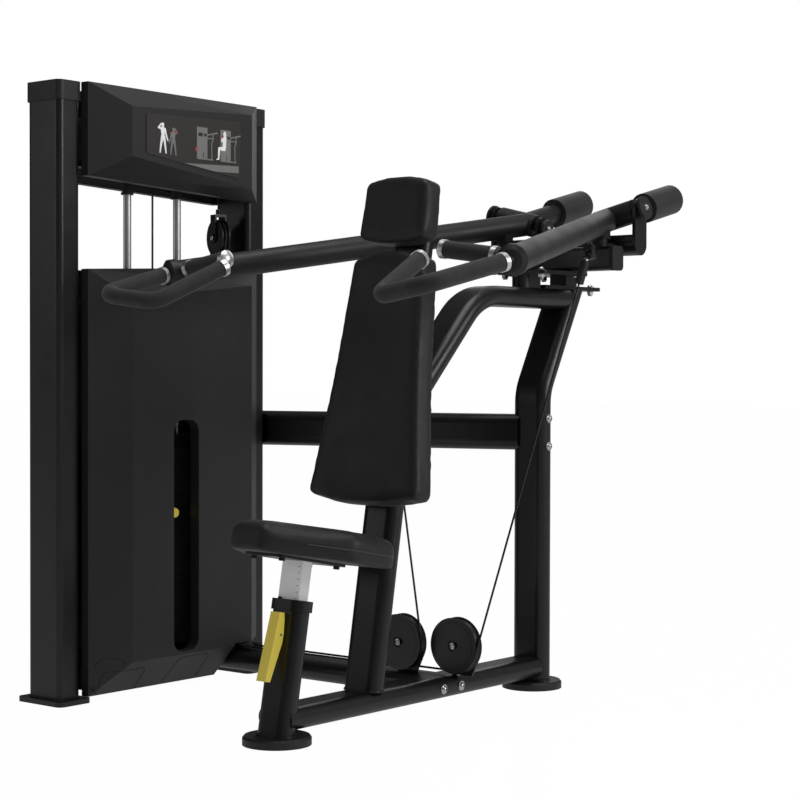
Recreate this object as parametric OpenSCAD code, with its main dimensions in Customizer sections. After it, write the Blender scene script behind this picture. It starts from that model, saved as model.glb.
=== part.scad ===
// Selectorized shoulder press: a seat and backrest frame, two converging press arms
// and a weight-stack tower.  Millimetres.  X = 0 is the middle plane of the seat,
// +X is the user's left, -Y is the way the user faces, Z = 0 is the floor and the
// origin is the middle of the rear floor disc.

/* [Frame tube] */
// Long side of the flat-oval frame tube
tube_w = 100; // [90:1:110]
// Short side of the flat-oval frame tube
tube_t = 50; // [44:1:54]
// Wall of every frame tube
tube_wall = 3; // [2:0.5:4]
// Height of the middle of the base tubes above the floor
base_z = 55; // [50:1:60]
// Diameter of the two floor discs
disc_d = 151; // [130:1:170]
// Thickness of the two floor discs
disc_h = 20; // [12:1:24]
// Distance from the rear floor disc to the front one
disc_span = 956; // [940:1:970]

/* [Rear post and bridge] */
// Height where the rear post starts to lean back
post_bend_z = 752; // [730:1:770]
// Lean of the upper rear post
post_lean = 28.5; // [26:1:32]
// Height of the middle of the bridge tube
bridge_z = 990; // [980:1:1000]
// Slope of the front end of the bridge tube
bridge_slope = 45; // [42:1:48]
// Where the bridge tube's two straight runs would meet, behind the middle
bridge_knee_y = -266; // [-275:1:-255]

/* [Seat] */
// Lean of the seat pedestal and of the seat
seat_lean = 10.6; // [9:0.1:12]
// Length of the pedestal tube's long side
pedestal_w = 90; // [84:1:96]
// Height of the seat pad above the pedestal's top, along the pedestal
seat_rise = 122; // [100:1:130]
// Thickness of the seat pad
seat_thick = 66; // [50:1:70]
// Half width of the seat pad at the back
seat_half_w = 173; // [150:1:180]
// Half width of the seat pad's nose
seat_nose_w = 55; // [50:1:70]

/* [Backrest] */
// Lean of the backrest post and of the pads
back_lean = 10; // [9:0.1:11]
// Thickness of the back pad and the head pad
pad_thick = 60; // [50:1:64]
// Half width of the back pad at the bottom
back_half_low = 166; // [150:1:170]
// Half width of the back pad at the top
back_half_top = 110; // [95:1:115]
// Half width of the head pad
head_half_w = 98; // [85:1:100]

/* [Arms] */
// Height of the middle of each arm pivot
pivot_z = 1198; // [1190:1:1205]
// Distance of each arm pivot from the middle plane
pivot_x = 152; // [148:1:156]
// Rise of each pivot axle towards its outer end
pivot_tilt = 13.4; // [12:0.1:15]
// Radius of the arm tube
arm_r = 30; // [27:1:32]
// Radius of the hand grips
grip_r = 19; // [16:0.5:20]
// Radius of the counterweights
counter_r = 39; // [34:1:40]
// Length of the counterweights
counter_len = 118; // [100:1:130]

/* [Weight tower] */
// Height of the tower
tower_h = 1500; // [1495:1:1510]
// Width of the tower, from the front upright to the rear one
tower_w = 718; // [700:1:730]
// Distance from the middle plane to the face of the uprights
tower_x = 709; // [705:1:715]
// Depth of each upright
upright_d = 116; // [110:1:120]
// Width of each upright
upright_w = 68; // [60:1:74]
// How far the middle facet of a cover stands in front of its edge
facet_rise = 61; // [50:1:64]
// Number of plates in the stack
plate_count = 20; // [18:1:20]
// Number of plates that the selector pin has picked up
plates_lifted = 7; // [5:1:9]
// Distance from one plate to the next
plate_pitch = 25; // [24:0.5:25]

/* [Hidden] */
$fn = 64;
hull_fn = 32;
running = 0.05;                     // radial clearance of a shaft in its bore
gap = 0.6;                          // clearance between pieces that slide past each other
swell = 0.05;                       // how much a bend stands proud of its straight runs
lap = 1;                            // how far a straight run reaches into its bend

// --- Helpers -----------------------------------------------------------------------

// Flat oval: a rectangle with half-round ends, long side along x
module oval(w, t) {
  square([w - t, t], center = true);
  for (s = [-1, 1]) translate([s * (w - t) / 2, 0]) circle(d = t);
}

// Solid or hollow flat-oval bar along z
module oval_bar(w, t, h) linear_extrude(h) oval(w, t);
module oval_tube(w, t, h, wall = tube_wall) {
  linear_extrude(h) difference() {
    oval(w, t);
    oval(w - 2 * wall, t - 2 * wall);
  }
}

// Rectangle with rounded corners
module soft_rect(w, h, r) {
  square([w - 2 * r, h], center = true);
  square([w, h - 2 * r], center = true);
  for (x = [-1, 1], y = [-1, 1]) translate([x * (w / 2 - r), y * (h / 2 - r)]) circle(r = r);
}

// Turns z to point from p to q and moves to p
function span(p, q) = norm(q - p);
module aim(p, q) {
  d = q - p;
  translate(p) rotate([0, acos(d.z / norm(d)), atan2(d.y, d.x)]) children();
}

// Round bar from p to q
module rod(p, q, r) aim(p, q) cylinder(h = span(p, q), r = r);

// Ring along z
module ring(h, r_out, r_in) {
  difference() {
    cylinder(h = h, r = r_out);
    translate([0, 0, -1]) cylinder(h = h + 2, r = r_in);
  }
}

// Lays an outline drawn in (y, z) into the plane across x, thick along +x
module across_x(x, thick) translate([x, 0, 0]) rotate([90, 0, 90]) linear_extrude(thick) children();

// Cable pulley along z, centred: a disc with a round groove, a sunk hub and a line near
// each rim; a bigger flare opens the groove wider
module pulley(r, groove_r, thick, bore_r, flare = 2) {
  rim = r - groove_r;
  half = thick / 2;
  recess = 3;
  hub = 6;
  rotate_extrude() difference() {
    translate([bore_r, -half]) square([r - bore_r, thick]);
    translate([r + flare, 0]) circle(r = rim + flare, $fn = 24);
    for (s = [-1, 1]) {
      translate([bore_r + hub / 2, s * half]) square([hub, 2 * recess], center = true);
      translate([groove_r - 2, s * half]) square([1.5, 1.2], center = true);
    }
  }
}

// Both sides of the machine
module both_sides() {
  children();
  mirror([1, 0, 0]) children();
}

// --- Frames of reference -----------------------------------------------------------

seat_top_y = -911.5;                // middle of the pedestal's top
seat_top_z = 277;
module seat_frame() translate([0, seat_top_y, seat_top_z]) rotate([-seat_lean, 0, 0]) children();

back_foot_y = -679;                 // where the backrest post's middle line meets the floor
module back_frame() translate([0, back_foot_y, 0]) rotate([-back_lean, 0, 0]) children();

pivot_y = 151.4;
module pivot_frame() translate([pivot_x, pivot_y, pivot_z]) rotate([0, -pivot_tilt, 0]) children();

// --- Base and posts ----------------------------------------------------------------

tube_top = base_z + tube_t / 2;
front_y = -disc_span;

module floor_discs() color("dimgray") for (y = [0, front_y]) translate([0, y, 0]) {
  cylinder(h = disc_h - 5, d = disc_d);
  translate([0, 0, disc_h - 5]) cylinder(h = 5, d1 = disc_d, d2 = disc_d - 8);
}

pedestal_drop = 290;
pedestal_up = 15;                   // how far the tube runs on above the seat frame's origin
module pedestal_solid() seat_frame() translate([0, 0, -pedestal_drop]) oval_bar(pedestal_w, tube_t, pedestal_drop);

module pedestal() color("black") {
  difference() {
    seat_frame() translate([0, 0, -pedestal_drop]) oval_tube(pedestal_w, tube_t, pedestal_drop + pedestal_up);
    translate([-100, front_y - 200, -100]) cube([200, 400, 100 + disc_h]);
  }
  seat_frame() lever_lug();
}

module base_tube() color("black") difference() {
  translate([0, -tube_t / 2, base_z]) rotate([90, 0, 0]) oval_tube(tube_w, tube_t, disc_span);
  pedestal_solid();
  translate([-100, front_y - 200, 0]) cube([200, 195, 200]);
}

cross_y = -390;
beam_x = -710;                      // face of the tower's base beam
module base_cross_tube() color("black") difference() {
  translate([beam_x, cross_y, base_z]) rotate([90, 0, 90]) oval_tube(tube_w, tube_t, -beam_x - tube_t / 2);
  for (s = [-1, 1]) translate([s * (tube_w - tube_t) / 2, cross_y - 100, base_z]) rotate([-90, 0, 0])
    cylinder(h = 200, d = tube_t);
}

// Rear post: straight up, a bend, then leaning back to the bridge tube's top
post_bend_r = 120;
post_tangent = post_bend_r * tan(post_lean / 2);
post_top_z = bridge_z + tube_t / 2;
post_slant = 400;                   // long enough to pass the post's top, where it is cut
// Solid path of the post, slimmer by inset on every side and longer by over at each end
module rear_post_path(inset, over) {
  w = tube_w - 2 * inset;
  t = tube_t - 2 * inset;
  straight = post_bend_z - post_tangent - disc_h;
  translate([0, 0, disc_h - over]) oval_bar(w, t, straight + over + lap);
  translate([0, post_bend_r, post_bend_z - post_tangent]) rotate([90, 0, -90])
    rotate_extrude(angle = post_lean) translate([post_bend_r, 0]) rotate([0, 0, 90]) oval(w + 2 * swell, t + 2 * swell);
  post_slant_frame() translate([0, 0, -lap]) oval_bar(w, t, post_slant + over + lap);
}
module post_slant_frame() translate([0, post_tangent * sin(post_lean), post_bend_z + post_tangent * cos(post_lean)])
  rotate([-post_lean, 0, 0]) children();

module rear_post() color("black") difference() {
  rear_post_path(0, 0);
  rear_post_path(tube_wall, 1);
  translate([-100, -100, post_top_z]) cube([200, 600, 300]);
}

// Bridge tube: level at the back, sloping down to the backrest post at the front
bridge_bend_r = 180;
bridge_tangent = bridge_bend_r * tan(bridge_slope / 2);
bridge_level_y = bridge_knee_y + bridge_tangent;
bridge_back_y = 180;                // both ends run on into the posts, where they are cut
bridge_run = 360;
module bridge_path(inset, over) {
  w = tube_w - 2 * inset;
  t = tube_t - 2 * inset;
  translate([0, bridge_level_y - lap, bridge_z]) rotate([-90, 0, 0]) oval_bar(w, t, bridge_back_y - bridge_level_y + over + lap);
  translate([0, bridge_level_y, bridge_z - bridge_bend_r]) rotate([0, -90, 0]) rotate([180, 0, 0])
    rotate_extrude(angle = bridge_slope) translate([bridge_bend_r, 0]) rotate([0, 0, 90])
      oval(w + 2 * swell, t + 2 * swell);
  translate([0, bridge_knee_y - bridge_tangent * cos(bridge_slope), bridge_z - bridge_tangent * sin(bridge_slope)])
    rotate([90 + bridge_slope, 0, 0]) translate([0, 0, -lap]) oval_bar(w, t, bridge_run + over + lap);
}
module bridge_tube() color("black") difference() {
  bridge_path(0, 0);
  bridge_path(tube_wall, 1);
  rear_post_path(0, 0);
  post_slant_frame() translate([-100, 0, 0]) cube([200, 200, post_slant]);
  back_frame() translate([-100, -400, 0]) cube([200, 400 + tube_t / 2, 1400]);
}

back_post_len = 1210;
module back_post() color("black") {
  difference() {
    back_frame() oval_tube(tube_w, tube_t, back_post_len);
    translate([-100, -900, -100]) cube([200, 400, 100 + tube_top]);
  }
  back_frame() translate([0, 0, back_post_len]) oval_bar(tube_w, tube_t, 4);
}

// Cross tube from the tower's rear upright to the rear post, on edge
upper_cross_z = 650;
upper_cross_h = 92;
tower_y0 = -955;                    // front of the tower
tower_y1 = tower_y0 + tower_w;      // back of the tower
tower_mid_x = -tower_x - upright_d / 2;
module upper_cross_tube() color("black") difference() {
  aim([tower_mid_x, tower_y1 + 2, upper_cross_z], [0, 0, upper_cross_z])
    translate([0, 0, -60]) oval_tube(upper_cross_h, tube_t, span([tower_mid_x, tower_y1, 0], [0, 0, 0]) + 60);
  translate([-900, tower_y1 - 400, 500]) cube([400, 400, 300]);
  translate([-25, -100, 500]) cube([200, 200, 300]);
  translate([-25, 0, 500]) cylinder(h = 300, d = tube_t);
}

// --- Top of the frame: plates, stop bar and arm pivots -----------------------------

plate_t = 10;
bar_y = 84;                         // middle of the stop bar
bar_h = 60;
bar_depth = 48;
bar_half = 190;
deck_z = 1049;                      // underside of the deck plate
deck_y = 42;
deck_size = [150, 202];
tail_size = [42, 254];
tail_y = 150;
stub_y = -30;
block_y = 136;
deck_bolts = [for (x = [-1, 1], y = [-44, 128]) [x * 56, y]];
tail_bolt_y = 262;

module head_plates() color("black") {
  // tail plate over the bridge tube and the rear post
  difference() {
    translate([-tail_size.x / 2, tail_y - tail_size.y / 2, post_top_z]) cube([tail_size.x, tail_size.y, plate_t]);
    translate([0, tail_bolt_y, post_top_z - 1]) cylinder(h = plate_t + 2, r = 6);
  }
  // front stub, rear block and the deck plate on them
  translate([0, stub_y, post_top_z]) rotate([0, 0, 90]) oval_tube(88, tube_t, deck_z - post_top_z);
  translate([-25, block_y - 25, post_top_z + plate_t]) cube([50, 50, deck_z - post_top_z - plate_t]);
  difference() {
    translate([0, deck_y, deck_z]) linear_extrude(plate_t) soft_rect(deck_size.x, deck_size.y, 12);
    for (b = deck_bolts) translate([b.x, b.y, deck_z - 1]) cylinder(h = plate_t + 2, r = 6);
  }
}

bar_z = deck_z + plate_t + bar_h / 2;
module stop_bar() color("black") translate([-bar_half, bar_y, bar_z]) rotate([90, 0, 90])
  linear_extrude(2 * bar_half) difference() {
    soft_rect(bar_depth, bar_h, 10);
    soft_rect(bar_depth - 6, bar_h - 6, 7);
  }

// Pivot yoke: a round bar across the back with two cheeks at each arm
yoke_z = 1125;
yoke_r = 27;
axle_r = 12.5;
housing_half = 58;
housing_bore = 20;
cheek_x = [74, 216];                // inner faces of the inner and outer cheeks
cheek_t = 9;
axle_in = -88;                      // ends of the axle along its own line
axle_out = 82.5;
cap_t = 7.5;
module cheek(x) {
  lift = (x + cheek_t / 2 - pivot_x) * tan(pivot_tilt);
  across_x(x, cheek_t) link_plate([pivot_y, yoke_z], [pivot_y, pivot_z + lift], 27);
}
// Two discs joined by a straight band, drawn flat
module link_plate(p, q, r) {
  translate(p) circle(r = r);
  translate(q) circle(r = r);
  translate([p.x - r, p.y]) square([2 * r, q.y - p.y]);
}
module pivot_yoke() color("black") difference() {
  union() {
    translate([-cheek_x[1] - cheek_t, pivot_y, yoke_z]) rotate([0, 90, 0]) cylinder(h = 2 * (cheek_x[1] + cheek_t), r = yoke_r);
    both_sides() for (x = cheek_x) cheek(x);
    for (x = [-45, 35]) across_x(x, 10) translate([bar_y + bar_depth / 2, deck_z + plate_t]) square([55, 66]);
  }
  both_sides() pivot_frame() rotate([0, 90, 0]) translate([0, 0, -120]) cylinder(h = 240, r = axle_r);
}
module pivot_axles() color("dimgray") both_sides() pivot_frame() rotate([0, 90, 0]) {
  translate([0, 0, axle_in]) cylinder(h = axle_out - axle_in, r = axle_r);
  translate([0, 0, axle_out]) cylinder(h = cap_t, r = 29);
  translate([0, 0, axle_in - cap_t]) cylinder(h = cap_t, r = 24);
}
bush_len = 22;
module pivot_bushes() color("goldenrod") both_sides() pivot_frame() rotate([0, 90, 0])
  for (z = [-housing_half + 2, housing_half - 2 - bush_len]) translate([0, 0, z]) ring(bush_len, housing_bore, axle_r);

// --- Press arms (drawn for the user's left) ----------------------------------------

arm_root = [125, pivot_y, 1191.6];
arm_tip = [505.5, -799.6, 1034];
cap_len = 24;
counter_dip = 13.5;
counter_start = 174;
counter_root = [142, pivot_y, pivot_z - 3];

module arm_line() aim(arm_root, arm_tip) children();
arm_len = span(arm_root, arm_tip);
module counter_line() translate(counter_root) rotate([-90 + counter_dip, 0, 0]) children();

// Handle loop: an outer leg, a cross leg and an inner leg, joined by two bends.  The
// outer leg starts at the arm's tip, the inner leg ends free.
loop = [[498.6, -813.9, 1031.6], [469.8, -1034.5, 978.9], [324, -1006.8, 960.3], [287.5, -823.3, 1044.8]];
core_r = 12;
bend_r = 42;
loop_in = 28;                       // how far the core reaches back into the arm
function unit(v) = v / norm(v);
function bend_apex(p, q, s) = acos(unit(p - q) * unit(s - q));
function bend_tangent(p, q, s) = bend_r / tan(bend_apex(p, q, s) / 2);
tangent_1 = bend_tangent(loop[0], loop[1], loop[2]);
tangent_2 = bend_tangent(loop[1], loop[2], loop[3]);

// Round bend of the loop where the run from p turns at q towards s
module loop_bend(p, q, s, r) {
  a = unit(p - q);
  n = unit(cross(a, unit(s - q)));
  b = cross(n, a);
  apex = bend_apex(p, q, s);
  multmatrix([[a.x, b.x, n.x, q.x], [a.y, b.y, n.y, q.y], [a.z, b.z, n.z, q.z], [0, 0, 0, 1]])
    translate([bend_tangent(p, q, s), bend_r, 0]) rotate([0, 0, 90 + apex])
      rotate_extrude(angle = 180 - apex) translate([bend_r, 0]) circle(r = r + swell);
}
// Straight run of the loop from p to q without its first and last millimetres
module loop_run(p, q, first, last, r) aim(p, q) translate([0, 0, first])
  cylinder(h = span(p, q) - first - last, r = r);
module loop_bar(r, first, last) {
  loop_run(loop[0], loop[1], first, tangent_1 - lap, r);
  loop_run(loop[1], loop[2], tangent_1 - lap, tangent_2 - lap, r);
  loop_run(loop[2], loop[3], tangent_2 - lap, last, r);
  loop_bend(loop[0], loop[1], loop[2], r);
  loop_bend(loop[1], loop[2], loop[3], r);
}

// Short side grip
side_a = [495, -773, 1041];
side_b = [316, -786, 1066];
side_start = 40;                    // bare core before the side grip
ring_len = 12;

// Lug under the arm for the cable end, square to the arm's pivot.  The right arm's lug
// sits further out along its arm.
lug_drop = 49;
function lug_under(y) = arm_root + (arm_tip - arm_root) * (arm_root.y - y) / (arm_root.y - arm_tip.y) - [0, 0, lug_drop];
left_lug_at = lug_under(-66);
right_lug_mirrored = lug_under(-276);
right_lug_at = [-right_lug_mirrored.x, right_lug_mirrored.y, right_lug_mirrored.z];
lug_t = 10;
lug_r = 12;
pin_r = 5;
module lug_frame(at) translate(at) rotate([0, -pivot_tilt, 0]) children();

module arm_weldment(lug) difference() {
  union() {
    arm_line() cylinder(h = arm_len - cap_len / 2, r = arm_r);
    arm_line() translate([0, 0, arm_len - cap_len]) arm_cap();
    pivot_frame() rotate([0, 90, 0]) translate([0, 0, -housing_half]) cylinder(h = 2 * housing_half, r = 30);
    counter_line() cylinder(h = counter_start, r = 25);
    loop_bar(core_r, -loop_in, 0);
    rod(side_a, side_b, core_r);
    lug_frame(lug) {
      rotate([0, 90, 0]) cylinder(h = lug_t, r = lug_r, center = true);
      translate([-lug_t / 2, -lug_r, 0]) cube([lug_t, 2 * lug_r, 28]);
    }
    stop_foot();
  }
  arm_line() cylinder(h = arm_len - cap_len, r = arm_r - tube_wall);
  pivot_frame() rotate([0, 90, 0]) translate([0, 0, -housing_half - 1])
    cylinder(h = 2 * housing_half + 2, r = housing_bore + running);
  lug_frame(lug) rotate([0, 90, 0]) cylinder(h = 2 * lug_t, r = pin_r + running, center = true);
}
module arm_cap() {
  cylinder(h = cap_len - 8, r = arm_r + 4);
  translate([0, 0, cap_len - 8]) cylinder(h = 8, r1 = arm_r + 4, r2 = arm_r - 6);
}
// Foot under the arm that comes down on the rubber buffer of the stop bar
foot_x = 151;
foot_z = 1139;
module stop_foot() translate([foot_x - 16, bar_y - 16, foot_z]) cube([32, 32, 22]);

module left_arm() color("black") arm_weldment(left_lug_at);
module right_arm() color("black") mirror([1, 0, 0]) arm_weldment(right_lug_mirrored);

module counterweight() counter_line() translate([0, 0, counter_start - 22]) difference() {
  union() {
    cylinder(h = counter_len + 18, r = counter_r);
    translate([0, 0, counter_len + 18]) cylinder(h = 4, r1 = counter_r, r2 = counter_r - 4);
  }
  translate([0, 0, -1]) cylinder(h = 23, r = 25);
}
module left_counterweight() color("dimgray") counterweight();
module right_counterweight() color("dimgray") mirror([1, 0, 0]) counterweight();

module grips() {
  difference() {
    loop_bar(grip_r, ring_len, ring_len);
    loop_bar(core_r, 0, 0);
  }
  aim(side_a, side_b) translate([0, 0, side_start + ring_len])
    ring(span(side_a, side_b) - side_start - 2 * ring_len, grip_r, core_r);
}
module left_grips() color("darkslategray") grips();
module right_grips() color("darkslategray") mirror([1, 0, 0]) grips();

module grip_ends() {
  aim(loop[0], loop[1]) ring(ring_len, end_r, core_r);
  aim(loop[2], loop[3]) translate([0, 0, span(loop[2], loop[3]) - ring_len]) end_dome();
  aim(side_a, side_b) {
    translate([0, 0, side_start]) ring(ring_len, end_r, core_r);
    translate([0, 0, span(side_a, side_b) - ring_len]) end_dome();
  }
}
end_r = grip_r + 1.5;
module end_dome() {
  ring(ring_len, end_r, core_r);
  translate([0, 0, ring_len]) cap_dome();
}
// Flat dome: a slice off a larger ball
module cap_dome() {
  rise = 9;
  ball = (end_r * end_r + rise * rise) / (2 * rise);
  intersection() {
    translate([0, 0, rise - ball]) sphere(r = ball);
    cylinder(h = rise, r = end_r);
  }
}
module left_grip_ends() color("silver") grip_ends();
module right_grip_ends() color("silver") mirror([1, 0, 0]) grip_ends();

// --- Base pulleys and the arm cables -----------------------------------------------

base_pulley_r = 67;
base_groove_r = 58;
base_pulley_z = 152;
pulley_thick = 26;
pulley_bore = 8;
left_pulley_at = [43, -375, base_pulley_z];
right_pulley_at = [-100, -405, base_pulley_z];
cable_r = 2.6;

base_flare = 4;
module along_y_pulley(at, r, groove_r, thick, flare = 2) translate(at) rotate([90, 0, 0])
  pulley(r, groove_r, thick, pulley_bore + running, flare);
module left_base_pulley() color("dimgray")
  along_y_pulley(left_pulley_at, base_pulley_r, base_groove_r, pulley_thick, base_flare);
module right_base_pulley() color("dimgray")
  along_y_pulley(right_pulley_at, base_pulley_r, base_groove_r, pulley_thick, base_flare);

// Cable line: it lies on the outer side of each pulley, just clear of the groove
pulley_clear = 0.4;
lie = cable_r + pulley_clear;
base_wrap_r = base_groove_r + lie;
// Angle where a cable from the lug touches the outer side of its base pulley
function touch(lug, at) = atan2(lug.z - at.z, lug.x - at.x)
  - acos(base_wrap_r / norm([lug.x - at.x, lug.z - at.z]));
left_turn = touch(left_lug_at, left_pulley_at);
right_turn = touch(right_lug_at, right_pulley_at);
left_rim = left_pulley_at + base_wrap_r * [cos(left_turn), 0, sin(left_turn)];
right_rim = right_pulley_at + base_wrap_r * [cos(right_turn), 0, sin(right_turn)];

// Cable end at each arm: a fork on the lug's pin, a stud, a collar and a rubber sleeve
stud_r = 5;
fork_t = 5;
fork_w = 12;
fork_drop = 20;
fork_x = lug_t / 2 + gap + fork_t / 2;
sleeve_at = 38;                     // start and length of the sleeve along the cable
sleeve_len = 54;
sleeve_r = 11;
// side is 1 for the user's left arm and -1 for the right one
module cable_end(pin, rim, side) {
  translate(pin) rotate([0, -side * pivot_tilt, 0]) {
    for (s = [-1, 1]) translate([s * fork_x, 0, 0]) {
      rotate([0, 90, 0]) cylinder(h = fork_t, r = 9, center = true);
      translate([-fork_t / 2, -fork_w / 2, -fork_drop]) cube([fork_t, fork_w, fork_drop]);
    }
    translate([-side * 4 - fork_x - 4, -fork_w, -fork_drop - 8]) cube([2 * fork_x + 8, 2 * fork_w, 10]);
    rotate([0, 90, 0]) cylinder(h = 2 * fork_x + fork_t + 6, r = pin_r, center = true);
  }
  aim(pin, rim) {
    translate([0, 0, fork_drop + 4]) cylinder(h = sleeve_at - fork_drop - 4, r = stud_r);
    translate([0, 0, sleeve_at - 4]) cylinder(h = 4, r = sleeve_r - 3);
    translate([0, 0, sleeve_at]) ring(sleeve_len, sleeve_r, cable_r + 0.5);
  }
}
module left_cable_end() color("black") cable_end(left_lug_at, left_rim, 1);
module right_cable_end() color("black") cable_end(right_lug_at, right_rim, -1);

// From the sleeves down to the base pulleys
cable_in = 20;                      // how far the cable reaches up into the sleeve
cable_short = 1.2;                  // how far a run ends before the turn it leads to
module cable_run(p, q, skip) aim(p, q) translate([0, 0, skip])
  cylinder(h = span(p, q) - skip - cable_short, r = cable_r);
module left_cable() color("black") cable_run(left_lug_at, left_rim, sleeve_at + sleeve_len - cable_in);
module right_cable() color("black") cable_run(right_lug_at, right_rim, sleeve_at + sleeve_len - cable_in);

// --- Seat --------------------------------------------------------------------------

post_size = [60, 30];
collar_size = [100, 60];
collar_h = 24;
collar_lap = 8;                     // how far the collar reaches down over the pedestal
module pedestal_collar() color("black") seat_frame() translate([0, 0, pedestal_up]) difference() {
  union() {
    translate([0, 0, -collar_lap]) oval_bar(collar_size.x, collar_size.y, collar_h);
    translate([-20, -20, collar_h - collar_lap]) sphere(r = 5);
  }
  translate([0, 0, -collar_lap - 1]) oval_bar(pedestal_w, tube_t, collar_lap + 1);
  cube([post_size.x + gap, post_size.y + gap, 80], center = true);
}

seat_plate_t = 6;
post_drop = 190;
module seat_post() color("silver") seat_frame() translate([0, 0, -post_drop])
  linear_extrude(post_drop + seat_rise - seat_plate_t) difference() {
    square(post_size, center = true);
    square([post_size.x - 5, post_size.y - 5], center = true);
  }
seat_bolts = [for (x = [-1, 1], u = [-95, 85]) [x * 40, u]];
module seat_plate() color("black") seat_frame() {
  translate([0, 0, seat_rise - seat_plate_t]) linear_extrude(seat_plate_t)
    translate([0, -5]) soft_rect(110, 220, 12);
  for (b = seat_bolts) translate([b.x, b.y, seat_rise - seat_plate_t - 7]) cylinder(h = 7, r = 7);
}

// Seat pad outline: a narrow nose that widens to the back, as rounded corners
seat_front = -174;
seat_bend = -6;
seat_back = 146;
module seat_outline(inset) hull() for (s = [-1, 1]) {
  translate([s * (seat_nose_w - 18), seat_front + 20]) circle(r = 20 - inset, $fn = hull_fn);
  translate([s * (seat_half_w - 40), seat_bend + 12]) circle(r = 40 - inset, $fn = hull_fn);
  translate([s * (seat_half_w - 40), seat_back - 40]) circle(r = 40 - inset, $fn = hull_fn);
}
module seat_pad() color("black") seat_frame() translate([0, 0, seat_rise]) hull() {
  linear_extrude(seat_thick - 12) seat_outline(0);
  linear_extrude(seat_thick) seat_outline(14);
}

// Seat lever on the front of the pedestal, hung on a lug
lever_pin = [-39, -47];
lever_w = 26;
lever_outline = [[-51, 1], [-36, 1], [-33, -12], [-30, -44], [-31, -64], [-54, -150], [-70, -150], [-57, -47]];
lug_half = 5;
module lever_lug() difference() {
  across_x(-lug_half, 2 * lug_half) union() {
    translate(lever_pin) circle(r = 7);
    translate([lever_pin.x, lever_pin.y - 7]) square([-tube_t / 2 + 1 - lever_pin.x, 14]);
  }
  translate([-lug_half - 1, lever_pin.x, lever_pin.y]) rotate([0, 90, 0]) cylinder(h = 2 * lug_half + 2, r = 3);
}
module seat_lever() color("goldenrod") seat_frame() difference() {
  across_x(-lever_w / 2, lever_w) polygon(lever_outline);
  translate([-lug_half - gap / 2, -47, -66]) cube([2 * lug_half + gap, 30, 42]);
  translate([-lever_w, lever_pin.x, lever_pin.y]) rotate([0, 90, 0]) cylinder(h = 2 * lever_w, r = 3 + running);
}

// --- Backrest ----------------------------------------------------------------------

pad_front = -94;                    // front of the pads, in front of the post's middle
pad_foot = 495;                     // lower end of the back pad along the post
back_len = 593;
head_foot = 1103;
head_len = 160;
// Pad outline in (x, along the post): straight sides, ends arched by rise
module pad_outline(low, top, len, rise, inset) hull() {
  for (s = [-1, 1]) {
    translate([s * (low - 18), 18 + rise]) circle(r = 18 - inset, $fn = hull_fn);
    translate([s * (top - 18), len - 18 - rise]) circle(r = 18 - inset, $fn = hull_fn);
    translate([s * low / 3, 30]) circle(r = 30 - inset, $fn = hull_fn);
    translate([s * top / 3, len - 30]) circle(r = 30 - inset, $fn = hull_fn);
  }
}
module pad(low, top, len, rise, thick) hull() {
  translate([0, pad_front, 0]) rotate([90, 0, 0]) mirror([0, 0, 1]) translate([0, 0, 10])
    linear_extrude(thick - 10) pad_outline(low, top, len, rise, 0);
  translate([0, pad_front, 0]) rotate([90, 0, 0]) mirror([0, 0, 1])
    linear_extrude(thick) pad_outline(low, top, len, rise, 12);
}
module back_pad() color("black") back_frame() translate([0, 0, pad_foot])
  pad(back_half_low, back_half_top, back_len, 14, pad_thick);
module head_pad() color("black") back_frame() translate([0, 0, head_foot])
  pad(head_half_w + 2, head_half_w - 3, head_len, 8, pad_thick);
pad_back = pad_front + pad_thick;
module pad_plates() color("black") back_frame() for (z = [590, 940, 1170])
  translate([-60, pad_back, z - 25]) cube([120, -tube_t / 2 - pad_back, 50]);

// --- Tower frame and covers --------------------------------------------------------

tower_xm = tower_mid_x;             // middle of the tower across x
foot_t = 12;
cap_h = 47;
module upright(y0) {
  translate([tower_xm, y0 + upright_w / 2, foot_t]) linear_extrude(tower_h - cap_h - foot_t) difference() {
    soft_rect(upright_d, upright_w, 14);
    soft_rect(upright_d - 6, upright_w - 6, 11);
  }
  translate([tower_xm, y0 + upright_w / 2, 0]) linear_extrude(foot_t) soft_rect(upright_d + 44, upright_w + 34, 16);
}
module front_upright() color("black") upright(tower_y0);
module rear_upright() color("black") upright(tower_y1 - upright_w);
module cap_blocks(grow, down) for (y0 = [tower_y0, tower_y1 - upright_w])
  translate([tower_xm, y0 + upright_w / 2, tower_h - cap_h - down]) linear_extrude(cap_h + 2 * down)
    soft_rect(upright_d + 8 + 2 * grow, upright_w + 8 + 2 * grow, 16);
module upright_caps() color("dimgray") cap_blocks(0, 0);

inner_y0 = tower_y0 + upright_w;    // between the uprights
inner_y1 = tower_y1 - upright_w;
top_beam_z = 1436;                  // undersides of the top beam and of the rod holder
rod_top = 1300;
holder_t = 16;
module tower_beams() color("black") {
  translate([stack_x - 50, inner_y0, base_z - 25]) cube([100, inner_y1 - inner_y0, 50]);
  translate([stack_x - 30, inner_y0, top_beam_z]) cube([60, inner_y1 - inner_y0, 16]);
  difference() {
    translate([stack_x - 30, inner_y0, rod_top]) cube([60, inner_y1 - inner_y0, holder_t]);
    for (y = [stack_y, float_at.y]) translate([stack_x, y, rod_top - 1]) cylinder(h = holder_t + 2, r = 9);
  }
}

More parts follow.
